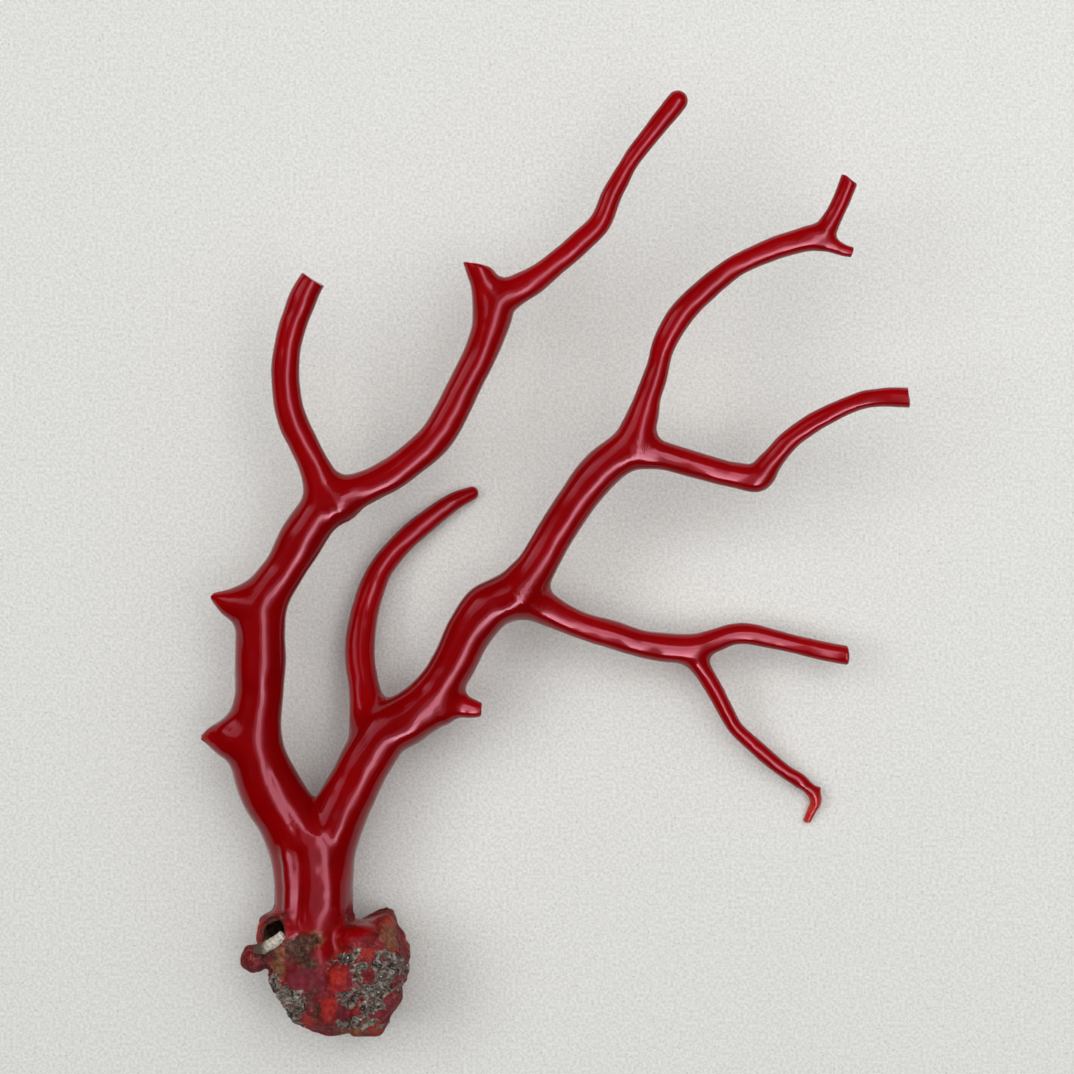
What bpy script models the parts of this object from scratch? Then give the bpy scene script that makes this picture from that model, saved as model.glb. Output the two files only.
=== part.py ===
"""A branch of precious red coral, lying on its side.

The colony grew as one piece, so its limbs are modelled as one skin first. That skin is then
parted with thin cuts just past each main fork, which gives one closed solid for each limb.
A worm's chalky tube, a creature of its own, lies in a groove across the holdfast.

Routes and sizes are in millimetres, and MM turns them into metres. The origin is on the flat
face that the holdfast rests on, +Y runs from the holdfast to the twigs and +Z is up.
"""

import math

import bmesh
import bpy
from mathutils import Vector, noise

MM = 0.001

# Driving sizes in millimetres
REST_Z = 0.0
CUT_END_Y = -9.7
FORK_GAP = 0.3
GROOVE_GAP = 0.3
ROUTE_STEP = 1.2
SKIN_VOXEL = 0.42
END_STOCK = 1.0
CUTTER_REACH = 60.0
WELD = 0.001

# How finely things are divided
TUBE_RESOLUTION = 4
WORM_TUBE_RESOLUTION = 2
WORM_TUBE_STEP = 0.8
LOBE_SUBDIVISIONS = 4
DISC_SEGMENTS = 24
DOME_DEGREES = (20, 40, 58, 74, 86)
SHARP_DEGREES = 50
TRIANGLES = 7600

# How far the forks are softened into webs
WEB_FACTOR = 0.5
WEB_PASSES = 4

# The holdfast's rough crust fades out up the trunk between these two heights on Y.
# Lumps are pairs of frequency per millimetre and height, and furrows run where a noise is far from zero.
CRUST_FULL_Y = 6.5
CRUST_NONE_Y = 11.5
CRUST_LUMPS = ((0.17, 0.55), (0.36, 0.34), (0.80, 0.16))
CRUST_FURROW_FREQUENCY = 0.45
CRUST_FURROW_SHIFT = (7.0, 3.0, 1.0)
CRUST_FURROW_EDGE = 0.25
CRUST_FURROW_DEPTH = 0.6

# Each limb is a hand-chosen route of (x, y, z, radius)
TRUNK = (
    (-2.9, 0.0, 9.2, 6.0),
    (-2.9, 7.0, 9.5, 6.3),
    (-2.9, 12.0, 9.6, 6.2),
    (-2.9, 16.0, 9.7, 6.2),
    (-2.9, 20.0, 10.0, 6.0),
)
LEFT_LIMB = (
    (-3.3, 14.5, 9.8, 5.8),
    (-4.6, 20.0, 10.2, 5.4),
    (-6.9, 25.0, 10.7, 5.0),
    (-9.9, 30.0, 11.1, 4.95),
    (-11.7, 35.0, 11.5, 4.45),
    (-12.05, 40.0, 11.9, 4.15),
    (-11.3, 45.0, 12.3, 3.92),
    (-11.25, 50.0, 12.7, 4.15),
    (-11.2, 55.0, 13.0, 4.05),
    (-10.2, 60.0, 13.4, 3.8),
    (-7.15, 65.0, 13.8, 3.4),
    (-4.2, 70.0, 14.1, 3.65),
    (-1.5, 74.0, 14.4, 3.55),
    (0.4, 76.6, 14.6, 3.3),
)
LOWER_THORN = (
    (-12.6, 38.3, 11.9, 4.1),
    (-16.3, 38.2, 12.0, 3.5),
    (-18.4, 38.0, 12.1, 2.5),
    (-19.6, 37.85, 12.1, 1.5),
)
UPPER_THORN = (
    (-11.3, 58.9, 13.3, 4.3),
    (-13.0, 59.4, 13.5, 3.9),
    (-14.7, 59.4, 13.7, 3.2),
    (-16.8, 60.0, 13.9, 2.3),
    (-18.3, 60.6, 14.0, 1.4),
    (-19.2, 60.95, 14.1, 0.75),
)
OUTER_BRANCH = (
    (-0.5, 76.0, 14.7, 3.3),
    (-1.35, 79.0, 15.3, 2.85),
    (-2.55, 82.0, 15.9, 2.4),
    (-4.0, 85.0, 16.5, 2.3),
    (-5.4, 88.0, 17.0, 2.35),
    (-6.1, 90.0, 17.3, 2.4),
    (-6.5, 92.5, 17.6, 2.35),
    (-6.7, 95.0, 17.9, 2.2),
    (-6.65, 97.5, 18.1, 2.15),
    (-6.35, 100.0, 18.3, 2.05),
    (-5.8, 102.5, 18.5, 2.05),
    (-5.0, 105.0, 18.6, 2.05),
    (-3.75, 108.0, 18.8, 2.15),
    (-2.1, 110.8, 19.0, 2.1),
)
INNER_BRANCH = (
    (1.4, 75.7, 14.6, 3.6),
    (4.0, 77.2, 14.7, 2.95),
    (7.0, 78.5, 14.8, 2.68),
    (10.0, 80.1, 14.9, 2.65),
    (13.5, 82.7, 15.0, 2.68),
    (16.9, 85.9, 15.1, 2.65),
    (19.5, 90.0, 15.2, 2.62),
    (21.9, 95.0, 15.3, 2.7),
    (24.3, 100.0, 15.4, 2.72),
    (26.1, 105.0, 15.5, 2.95),
    (26.9, 107.5, 15.6, 3.0),
    (29.1, 109.0, 15.7, 2.55),
    (32.5, 110.8, 15.9, 2.2),
    (36.1, 113.6, 16.1, 1.9),
    (40.0, 116.9, 16.3, 1.82),
    (43.0, 120.0, 16.4, 1.7),
    (45.2, 125.0, 16.6, 1.6),
    (48.1, 130.0, 16.8, 1.5),
    (52.0, 135.0, 17.0, 1.52),
    (55.4, 139.3, 17.2, 1.6),
)
INNER_STUB = (
    (25.6, 106.5, 15.6, 2.8),
    (24.5, 110.0, 16.3, 2.2),
    (23.75, 112.0, 16.9, 2.05),
    (23.4, 113.6, 17.3, 2.1),
)
RIGHT_LOWER = (
    (-2.5, 14.5, 9.7, 5.8),
    (-1.2, 20.0, 9.9, 5.2),
    (1.0, 25.0, 10.1, 4.55),
    (3.55, 30.0, 10.2, 4.2),
    (6.2, 35.0, 10.3, 4.3),
    (8.6, 38.8, 10.4, 4.4),
    (13.0, 41.4, 10.7, 4.3),
    (16.6, 45.0, 11.1, 3.75),
    (19.5, 49.5, 11.6, 3.65),
    (22.2, 54.8, 12.1, 3.7),
    (25.6, 59.1, 12.6, 3.85),
    (30.6, 61.2, 13.0, 3.7),
)
MIDDLE_STUB = (
    (16.9, 42.9, 10.8, 3.6),
    (20.2, 43.1, 11.0, 2.2),
    (22.6, 42.6, 11.1, 1.6),
    (24.2, 42.4, 11.1, 1.05),
)
MIDDLE_BRANCH = (
    (7.0, 36.5, 9.9, 3.9),
    (5.9, 41.0, 8.8, 3.1),
    (5.3, 45.0, 7.7, 2.7),
    (4.4, 50.0, 6.5, 2.55),
    (4.5, 55.0, 5.4, 2.47),
    (5.6, 60.0, 4.5, 2.22),
    (7.5, 64.6, 3.7, 2.0),
    (10.0, 68.0, 3.1, 1.93),
    (12.5, 70.6, 2.7, 1.85),
    (15.0, 72.6, 2.35, 1.8),
    (20.0, 76.2, 1.65, 1.48),
    (22.4, 77.3, 1.17, 1.17),
)
RIGHT_UPPER = (
    (29.6, 61.2, 13.1, 3.9),
    (32.4, 64.5, 13.5, 3.35),
    (35.55, 70.0, 14.1, 3.05),
    (38.7, 75.0, 14.8, 3.12),
    (42.2, 79.7, 15.5, 3.15),
    (46.0, 83.0, 16.2, 3.05),
    (49.2, 84.9, 16.8, 2.9),
)
UPPER_BRANCH = (
    (48.0, 84.6, 16.8, 3.0),
    (49.6, 88.5, 17.4, 2.55),
    (50.6, 92.0, 17.8, 2.05),
    (51.8, 95.5, 18.2, 2.0),
    (53.0, 100.0, 18.7, 1.92),
    (55.5, 104.8, 19.1, 1.92),
    (60.0, 109.4, 19.5, 1.92),
    (65.0, 113.2, 19.8, 1.82),
    (70.0, 115.4, 20.0, 1.85),
    (75.0, 117.0, 20.2, 1.95),
    (78.2, 118.2, 20.4, 1.9),
    (79.7, 120.5, 20.8, 1.6),
    (80.75, 122.7, 21.2, 1.47),
    (81.65, 125.0, 21.6, 1.45),
    (82.3, 126.65, 21.9, 1.45),
)
UPPER_STUB = (
    (76.8, 116.8, 20.3, 1.7),
    (79.7, 116.1, 20.1, 1.3),
    (81.4, 115.35, 19.9, 1.05),
    (82.85, 115.0, 19.7, 0.92),
)
ELBOW_BRANCH = (
    (48.6, 83.7, 16.6, 2.85),
    (52.0, 83.2, 16.7, 2.45),
    (55.0, 82.5, 16.7, 2.25),
    (60.0, 81.1, 16.3, 2.05),
    (65.0, 79.8, 15.4, 2.15),
    (68.1, 79.6, 15.0, 2.4),
    (70.1, 81.9, 15.4, 1.95),
    (73.0, 85.3, 16.2, 1.67),
    (77.0, 88.2, 17.2, 1.6),
    (80.0, 89.85, 17.9, 1.53),
    (82.5, 91.0, 18.3, 1.53),
    (85.0, 91.85, 18.6, 1.6),
    (87.5, 92.15, 18.8, 1.57),
    (91.75, 92.1, 19.0, 1.55),
)
RIGHT_SIDE = (
    (29.5, 60.6, 12.9, 3.5),
    (33.3, 59.2, 12.2, 2.85),
    (37.5, 57.1, 11.3, 2.35),
    (40.0, 56.0, 10.8, 2.2),
    (45.0, 54.4, 9.9, 2.3),
    (50.0, 52.9, 9.2, 2.2),
    (55.0, 52.2, 8.5, 2.35),
    (58.4, 52.2, 8.1, 2.4),
    (61.8, 53.3, 7.8, 1.95),
    (65.0, 54.35, 7.5, 1.75),
    (67.0, 54.45, 7.3, 1.8),
    (70.0, 53.85, 7.1, 1.72),
    (75.0, 52.7, 6.8, 1.5),
    (80.0, 51.5, 6.6, 1.5),
    (83.5, 50.9, 6.5, 1.5),
)
HOOKED_TWIG = (
    (57.5, 51.8, 8.0, 2.3),
    (59.1, 49.9, 7.5, 1.85),
    (60.2, 48.2, 7.1, 1.5),
    (61.9, 45.3, 6.4, 1.33),
    (63.8, 41.7, 5.4, 1.25),
    (65.4, 39.05, 4.6, 1.22),
    (68.0, 36.5, 3.9, 1.2),
    (71.2, 33.7, 3.1, 1.2),
    (74.6, 31.1, 2.5, 1.25),
    (77.2, 29.4, 1.95, 1.25),
    (78.5, 28.3, 1.6, 1.12),
    (78.7, 26.8, 1.25, 1.0),
    (78.15, 25.25, 0.9, 0.85),
    (77.6, 24.0, 0.62, 0.74),
)

# Limbs that end in a rounded tip, and limbs whose last point is a flat broken face
ROUND_LIMBS = (TRUNK, LEFT_LIMB, LOWER_THORN, UPPER_THORN, INNER_BRANCH, RIGHT_LOWER,
               MIDDLE_BRANCH, RIGHT_UPPER, HOOKED_TWIG)
BROKEN_LIMBS = (OUTER_BRANCH, INNER_STUB, MIDDLE_STUB, UPPER_BRANCH, UPPER_STUB, ELBOW_BRANCH,
                RIGHT_SIDE)

# The holdfast is a heap of blocks, each one an outline in plan at several heights:
# the outline's corners, then pairs of height and share of the outline's width
HOLDFAST_BLOCKS = (
    (((-9.6, 10.2), (-11.5, 9.4), (-12.1, 8.4), (-12.3, 5.2), (-10.6, 1.0), (-4.0, -2.0), (0.0, 4.0),
      (-3.0, 9.2)),
     ((-1.5, 0.66), (3.5, 0.92), (9.0, 1.0), (13.0, 0.90), (16.2, 0.52))),
    (((-10.5, 0.8), (-10.2, -1.2), (-9.2, -3.6), (-7.7, -5.2), (-7.0, -7.0), (-6.0, -8.1), (-4.3, -8.9),
      (-1.0, -10.2), (3.2, -10.2), (6.0, -5.0), (3.0, 5.0), (-5.0, 6.0)),
     ((-1.5, 0.78), (4.0, 0.96), (9.0, 1.0), (13.0, 0.93), (17.2, 0.58))),
    (((0.5, 6.9), (4.0, 7.8), (7.0, 9.2), (8.7, 10.1), (9.7, 9.8), (12.0, 5.2), (12.8, 3.2),
      (12.3, -1.6), (10.6, -5.2), (5.5, -7.5), (-1.0, -3.0)),
     ((-1.5, 0.72), (3.5, 0.94), (9.0, 1.0), (13.0, 0.92), (17.4, 0.55))),
    (((2.6, -10.4), (8.0, -10.6), (8.8, -8.8), (9.6, -7.0), (10.8, -4.8), (6.0, -1.0), (1.0, -4.0)),
     ((-1.0, 0.76), (4.0, 0.98), (9.5, 1.0), (14.0, 0.84), (16.4, 0.5))),
)

# Rounder growths on the blocks: centre, then half widths
HOLDFAST_LOBES = (
    ((-0.8, -5.6, 16.0), (2.0, 2.4, 2.8)),
    ((1.4, -0.6, 16.0), (2.3, 2.9, 2.7)),
    ((5.2, 5.4, 14.4), (3.8, 2.6, 3.4)),
    ((-2.4, 3.0, 12.6), (3.4, 6.0, 5.0)),
    ((8.6, -3.9, 13.4), (2.6, 2.0, 2.8)),
    ((-12.4, 2.4, 10.6), (2.2, 2.15, 2.15)),
    ((-10.2, 2.6, 9.8), (2.0, 1.6, 2.4)),
)

# A borer's shaft beside the trunk, and the pale tube that crosses its lip
WORM_SHAFT = (
    (-8.6, 6.6, 8.5, 1.1),
    (-8.9, 6.7, 11.5, 1.45),
    (-9.25, 6.85, 14.5, 1.62),
    (-9.5, 7.0, 20.0, 1.8),
)
WORM_TUBE = (
    (-7.4, 5.7, 16.3, 0.62),
    (-8.5, 5.1, 16.2, 0.80),
    (-9.8, 4.6, 15.4, 0.85),
    (-11.1, 4.25, 14.0, 0.82),
    (-12.4, 3.9, 12.6, 0.72),
)
WORM_TUBE_BORE = 0.42
WORM_TUBE_BORE_DEPTH = 2.0

# Broken ends: a point on the flat face, the way that it looks, and half its width
BROKEN_FACES = (
    ((-2.1, 110.75, 19.0), (0.50, 0.86, 0.08), 4.0),
    ((23.6, 113.45, 17.2), (0.17, 0.95, 0.26), 4.0),
    ((24.2, 42.4, 11.1), (0.98, -0.17, 0.0), 2.5),
    ((82.3, 126.65, 21.9), (0.47, 0.87, 0.14), 3.0),
    ((82.85, 115.0, 19.7), (0.97, -0.22, -0.1), 2.0),
    ((91.75, 92.1, 19.0), (0.99, 0.12, 0.05), 3.0),
    ((83.45, 50.95, 6.5), (0.99, -0.02, -0.02), 3.0),
)

# Cuts just past the forks: a point on the limb, the limb's direction, the disc's radius
FORK_CUTS = (
    ((-9.9, 30.0, 11.1), (-0.44, 0.89, 0.08), 6.3),
    ((4.0, 30.8, 10.2), (0.47, 0.88, 0.02), 5.3),
    ((-2.75, 82.3, 15.95), (-0.42, 0.88, 0.20), 3.4),
    ((5.6, 77.9, 14.75), (0.93, 0.37, 0.03), 3.6),
    ((5.2, 46.0, 7.45), (-0.16, 0.95, -0.24), 3.5),
    ((13.6, 42.1, 10.75), (0.76, 0.64, 0.08), 5.2),
    ((33.2, 65.9, 13.6), (0.49, 0.86, 0.11), 4.5),
    ((37.4, 57.15, 11.3), (0.89, -0.41, -0.19), 3.4),
    ((50.35, 90.6, 17.65), (0.22, 0.96, 0.13), 3.2),
    ((55.6, 82.35, 16.65), (0.96, -0.26, -0.05), 3.2),
    ((62.4, 53.55, 7.75), (0.95, 0.31, -0.09), 2.7),
    ((61.0, 47.1, 6.85), (0.47, -0.84, -0.21), 2.4),
)

# Each solid takes the name of the point that it holds
NODE_POINTS = {
    "trunk_and_holdfast": (-2.9, 12.0, 9.6),
    "left_limb": (-11.3, 45.0, 12.3),
    "left_outer_branch": (-6.65, 97.5, 18.1),
    "left_inner_branch": (21.9, 95.0, 15.3),
    "right_lower_limb": (6.2, 35.0, 10.3),
    "middle_branch": (4.5, 55.0, 5.4),
    "right_middle_limb": (22.2, 54.8, 12.1),
    "right_upper_limb": (38.7, 75.0, 14.8),
    "upper_branch": (60.0, 109.4, 19.5),
    "elbow_branch": (77.0, 88.2, 17.2),
    "right_side_limb": (50.0, 52.9, 9.2),
    "straight_twig": (75.0, 52.7, 6.8),
    "hooked_twig": (71.2, 33.6, 3.1),
}
WORM_TUBE_NAME = "worm_tube"

# Colours as linear red, green and blue, with a roughness
CORAL_RED = ((0.235, 0.004, 0.006), 0.22)
TWIG_RED = ((0.320, 0.006, 0.006), 0.24)
HOLDFAST_RED = ((0.200, 0.016, 0.012), 0.50)
TUBE_CHALK = ((0.480, 0.440, 0.380), 0.75)
NODE_FINISHES = {
    "trunk_and_holdfast": HOLDFAST_RED,
    "upper_branch": TWIG_RED,
    "elbow_branch": TWIG_RED,
    "straight_twig": TWIG_RED,
    "hooked_twig": TWIG_RED,
}


def clear_scene():
    """Remove whatever the open file holds."""
    for obj in list(bpy.data.objects):
        bpy.data.objects.remove(obj)


def make_collection(name):
    """A new collection in the scene."""
    collection = bpy.data.collections.new(name)
    bpy.context.scene.collection.children.link(collection)
    return collection


def make_material(name, finish):
    """A plain Principled finish of one colour and roughness."""
    colour, roughness = finish
    material = bpy.data.materials.new(name)
    material.use_nodes = True
    shader = material.node_tree.nodes["Principled BSDF"]
    shader.inputs["Base Color"].default_value = (*colour, 1.0)
    shader.inputs["Roughness"].default_value = roughness
    shader.inputs["Metallic"].default_value = 0.0
    return material


def smooth_route(points, step=ROUTE_STEP):
    """Sample a smooth curve through the route's points, with the radius as a fourth value."""
    knots = [Vector(point) for point in points]
    chords = [(b.to_3d() - a.to_3d()).length for a, b in zip(knots, knots[1:])]
    rates = [(b - a) / chord for a, b, chord in zip(knots, knots[1:], chords)]
    slopes = [rates[0]]
    for before, after, short, long in zip(rates, rates[1:], chords, chords[1:]):
        slopes.append((before * long + after * short) / (short + long))
    slopes.append(rates[-1])
    samples = []
    for i, chord in enumerate(chords):
        count = max(1, round(chord / step))
        for k in range(count):
            t = k / count
            start = knots[i] * (1 + 2 * t) * (1 - t) ** 2 + slopes[i] * chord * t * (1 - t) ** 2
            end = knots[i + 1] * t * t * (3 - 2 * t) + slopes[i + 1] * chord * t * t * (t - 1)
            samples.append(start + end)
    samples.append(knots[-1])
    return samples


def end_direction(samples):
    """The direction in which a sampled route leaves its last point."""
    return (samples[-1].to_3d() - samples[-2].to_3d()).normalized()


def round_end(samples):
    """Close a sampled route with a dome as wide as its last radius."""
    tip = samples[-1]
    direction = end_direction(samples)
    dome = []
    for degrees in DOME_DEGREES:
        angle = math.radians(degrees)
        centre = tip.to_3d() + direction * tip.w * math.sin(angle)
        dome.append(Vector((*centre, tip.w * math.cos(angle))))
    return samples + dome


def lengthen_end(samples):
    """Carry a route straight on, so that its broken face can be cut from solid stock."""
    tip = samples[-1]
    centre = tip.to_3d() + end_direction(samples) * END_STOCK
    return samples + [Vector((*centre, tip.w))]


def mesh_object(name, mesh, collection):
    """Put a mesh in the scene as an object."""
    obj = bpy.data.objects.new(name, mesh)
    collection.objects.link(obj)
    return obj


def evaluated_mesh(obj):
    """The object's mesh with its modifiers applied."""
    bpy.context.view_layer.update()
    depsgraph = bpy.context.evaluated_depsgraph_get()
    return bpy.data.meshes.new_from_object(obj.evaluated_get(depsgraph))


def tube_mesh(name, samples, collection, resolution=TUBE_RESOLUTION):
    """A closed tube along a sampled route, from a bevelled curve."""
    curve = bpy.data.curves.new(name, "CURVE")
    curve.dimensions = "3D"
    curve.bevel_depth = MM
    curve.bevel_resolution = resolution
    curve.use_fill_caps = True
    spline = curve.splines.new("POLY")
    spline.points.add(len(samples) - 1)
    for point, sample in zip(spline.points, samples):
        point.co = (*(sample.to_3d() * MM), 1.0)
        point.radius = sample.w
    obj = mesh_object(name, curve, collection)
    mesh = evaluated_mesh(obj)
    bpy.data.objects.remove(obj)
    bm = bmesh.new()
    bm.from_mesh(mesh)
    bmesh.ops.remove_doubles(bm, verts=bm.verts, dist=WELD * MM)
    bmesh.ops.recalc_face_normals(bm, faces=bm.faces)
    bm.to_mesh(mesh)
    bm.free()
    return mesh


def add_lobe(bm, centre, half_widths):
    """Add one ellipsoid of the holdfast to a mesh."""
    lobe = bmesh.ops.create_icosphere(bm, subdivisions=LOBE_SUBDIVISIONS, radius=1.0)
    bmesh.ops.scale(bm, vec=Vector(half_widths) * MM, verts=lobe["verts"])
    bmesh.ops.translate(bm, vec=Vector(centre) * MM, verts=lobe["verts"])


def add_block(bm, outline, levels):
    """Add one block of the holdfast: the hull of its outline at each height."""
    middle = sum((Vector(corner) for corner in outline), Vector((0.0, 0.0))) / len(outline)
    verts = []
    for height, share in levels:
        for corner in outline:
            place = middle + (Vector(corner) - middle) * share
            verts.append(bm.verts.new((place.x * MM, place.y * MM, height * MM)))
    hull = bmesh.ops.convex_hull(bm, input=verts)
    inside = [item for item in hull["geom_interior"] if isinstance(item, bmesh.types.BMVert)]
    bmesh.ops.delete(bm, geom=inside, context="VERTS")


def crust_height(point):
    """How far the crust stands out at a point in millimetres, as soft lumps and sharper furrows."""
    height = 0.0
    for frequency, amplitude in CRUST_LUMPS:
        height += amplitude * noise.noise(point * frequency)
    strength = abs(noise.noise(point * CRUST_FURROW_FREQUENCY + Vector(CRUST_FURROW_SHIFT)))
    return height + CRUST_FURROW_DEPTH * min(0.0, CRUST_FURROW_EDGE - strength)


def roughen_holdfast(mesh):
    """Push the holdfast's skin in and out, and leave the limbs smooth."""
    bm = bmesh.new()
    bm.from_mesh(mesh)
    bm.normal_update()
    moves = []
    for vert in bm.verts:
        point = vert.co / MM
        fade = (CRUST_NONE_Y - point.y) / (CRUST_NONE_Y - CRUST_FULL_Y)
        fade = min(1.0, max(0.0, fade))
        moves.append(vert.normal * (fade * crust_height(point) * MM))
    for vert, move in zip(bm.verts, moves):
        vert.co += move
    bm.to_mesh(mesh)
    bm.free()


def grow_skin(collection):
    """Join the limbs and the holdfast's lobes into one webbed skin."""
    bm = bmesh.new()
    for limb in ROUND_LIMBS:
        bm.from_mesh(tube_mesh("limb", round_end(smooth_route(limb)), collection))
    for limb in BROKEN_LIMBS:
        bm.from_mesh(tube_mesh("limb", lengthen_end(smooth_route(limb)), collection))
    for outline, levels in HOLDFAST_BLOCKS:
        add_block(bm, outline, levels)
    for centre, half_widths in HOLDFAST_LOBES:
        add_lobe(bm, centre, half_widths)
    mesh = bpy.data.meshes.new("coral_skin")
    bm.to_mesh(mesh)
    bm.free()
    skin = mesh_object("coral_skin", mesh, collection)
    remesh = skin.modifiers.new("one skin", "REMESH")
    remesh.mode = "VOXEL"
    remesh.voxel_size = SKIN_VOXEL * MM
    web = skin.modifiers.new("webbed forks", "SMOOTH")
    web.factor = WEB_FACTOR
    web.iterations = WEB_PASSES
    fine = evaluated_mesh(skin)
    roughen_holdfast(fine)
    skin.modifiers.clear()
    skin.data = fine
    facets = skin.modifiers.new("facets", "DECIMATE")
    triangles = sum(len(polygon.vertices) - 2 for polygon in fine.polygons)
    facets.ratio = TRIANGLES / triangles
    skin.data = evaluated_mesh(skin)
    skin.modifiers.clear()
    return skin


def make_cutter(name, mesh, collection):
    """A hidden wire object that cuts the skin."""
    cutter = mesh_object(name, mesh, collection)
    cutter.hide_render = True
    cutter.display_type = "WIRE"
    return cutter


def box_mesh(name, centre, direction, half_width):
    """A cube whose near face stands at centre and looks back along direction."""
    bm = bmesh.new()
    cube = bmesh.ops.create_cube(bm, size=2 * half_width * MM)
    turn = Vector((0.0, 0.0, 1.0)).rotation_difference(Vector(direction))
    bmesh.ops.translate(bm, vec=(0.0, 0.0, half_width * MM), verts=cube["verts"])
    bmesh.ops.rotate(bm, matrix=turn.to_matrix(), verts=cube["verts"])
    bmesh.ops.translate(bm, vec=Vector(centre) * MM, verts=cube["verts"])
    mesh = bpy.data.meshes.new(name)
    bm.to_mesh(mesh)
    bm.free()
    return mesh


def disc_mesh(name, centre, direction, radius):
    """A thin disc as thick as the gap between two limbs."""
    bm = bmesh.new()
    disc = bmesh.ops.create_cone(bm, cap_ends=True, segments=DISC_SEGMENTS, radius1=radius * MM,
                                 radius2=radius * MM, depth=FORK_GAP * MM)
    turn = Vector((0.0, 0.0, 1.0)).rotation_difference(Vector(direction))
    bmesh.ops.rotate(bm, matrix=turn.to_matrix(), verts=disc["verts"])
    bmesh.ops.translate(bm, vec=Vector(centre) * MM, verts=disc["verts"])
    mesh = bpy.data.meshes.new(name)
    bm.to_mesh(mesh)
    bm.free()
    return mesh


def wider_route(route, extra):
    """The same route with every radius grown by extra."""
    return [(x, y, z, radius + extra) for x, y, z, radius in route]


def make_cutters(collection):
    """Every cutter: the rest face, the cut end, broken faces, the worm's ways and the forks."""
    cutters = [
        box_mesh("rest face", (0.0, 0.0, REST_Z), (0, 0, -1), CUTTER_REACH),
        box_mesh("cut end", (0.0, CUT_END_Y, 0.0), (0, -1, 0), CUTTER_REACH),
    ]
    for point, outward, half_width in BROKEN_FACES:
        cutters.append(box_mesh("broken face", point, outward, half_width))
    cutters.append(tube_mesh("worm shaft", smooth_route(WORM_SHAFT), collection))
    groove = round_end(smooth_route(wider_route(WORM_TUBE, GROOVE_GAP), WORM_TUBE_STEP))
    cutters.append(tube_mesh("groove", groove, collection))
    for centre, direction, radius in FORK_CUTS:
        cutters.append(disc_mesh("fork", centre, direction, radius))
    return [make_cutter(f"cutter_{i:02d}", mesh, collection) for i, mesh in enumerate(cutters)]


def cut_skin(skin, cutters, collection):
    """Take every cutter away from the skin in one exact Boolean."""
    cutter_group = bpy.data.collections.new("cutters in use")
    collection.children.link(cutter_group)
    for cutter in cutters:
        cutter_group.objects.link(cutter)
    cut = skin.modifiers.new("cuts", "BOOLEAN")
    cut.operation = "DIFFERENCE"
    cut.solver = "EXACT"
    cut.operand_type = "COLLECTION"
    cut.collection = cutter_group
    return evaluated_mesh(skin)


def split_loose(mesh):
    """Part a mesh into its separate bodies, each as a bmesh face list of indices."""
    bm = bmesh.new()
    bm.from_mesh(mesh)
    bm.faces.ensure_lookup_table()
    unseen = set(range(len(bm.faces)))
    bodies = []
    while unseen:
        front = [unseen.pop()]
        body = set(front)
        while front:
            face = bm.faces[front.pop()]
            for edge in face.edges:
                for near in edge.link_faces:
                    if near.index in unseen:
                        unseen.discard(near.index)
                        body.add(near.index)
                        front.append(near.index)
        bodies.append(body)
    bm.free()
    return bodies


def body_mesh(name, mesh, body):
    """A mesh of only the faces in one body."""
    bm = bmesh.new()
    bm.from_mesh(mesh)
    bm.faces.ensure_lookup_table()
    spare = [face for face in bm.faces if face.index not in body]
    bmesh.ops.delete(bm, geom=spare, context="FACES")
    result = bpy.data.meshes.new(name)
    bm.to_mesh(result)
    bm.free()
    return result


def nearest_body(mesh, bodies, point):
    """The body whose skin comes closest to a point."""
    target = Vector(point) * MM

    def distance(body):
        return min((mesh.polygons[index].center - target).length for index in body)

    return min(bodies, key=distance)


def finish_node(obj, finish):
    """Give a solid its material and smooth shading."""
    obj.data.materials.clear()
    obj.data.materials.append(make_material(obj.name, finish))
    obj.data.shade_smooth()
    obj.data.set_sharp_from_angle(angle=math.radians(SHARP_DEGREES))


def make_limbs(collection, cutter_collection):
    """Cut the skin and name each limb's solid."""
    skin = grow_skin(cutter_collection)
    mesh = cut_skin(skin, make_cutters(cutter_collection), cutter_collection)
    bodies = split_loose(mesh)
    for name, point in NODE_POINTS.items():
        body = nearest_body(mesh, bodies, point)
        limb = mesh_object(name, body_mesh(name, mesh, body), collection)
        finish_node(limb, NODE_FINISHES.get(name, CORAL_RED))
    bpy.data.objects.remove(skin)


def make_worm_tube(collection, cutter_collection):
    """The worm's chalky tube with the mouth of its bore at the shaft's lip."""
    samples = smooth_route(WORM_TUBE, WORM_TUBE_STEP)
    shell = tube_mesh(WORM_TUBE_NAME, round_end(samples), cutter_collection, WORM_TUBE_RESOLUTION)
    tube = mesh_object(WORM_TUBE_NAME, shell, collection)
    mouth = samples[0].to_3d()
    inward = (samples[1].to_3d() - mouth).normalized()
    start = mouth - inward * WORM_TUBE_BORE
    end = mouth + inward * WORM_TUBE_BORE_DEPTH
    bore = [Vector((*start, WORM_TUBE_BORE)), Vector((*end, WORM_TUBE_BORE))]
    bore_mesh = tube_mesh("tube_bore", bore, cutter_collection, WORM_TUBE_RESOLUTION)
    cutter = make_cutter("tube_bore", bore_mesh, cutter_collection)
    cut = tube.modifiers.new("bore", "BOOLEAN")
    cut.operation = "DIFFERENCE"
    cut.solver = "EXACT"
    cut.object = cutter
    finish_node(tube, TUBE_CHALK)


def main():
    """Build the whole branch."""
    clear_scene()
    coral = make_collection("red_coral_branch")
    cutters = make_collection("cutters")
    make_limbs(coral, cutters)
    make_worm_tube(coral, cutters)


main()
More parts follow.
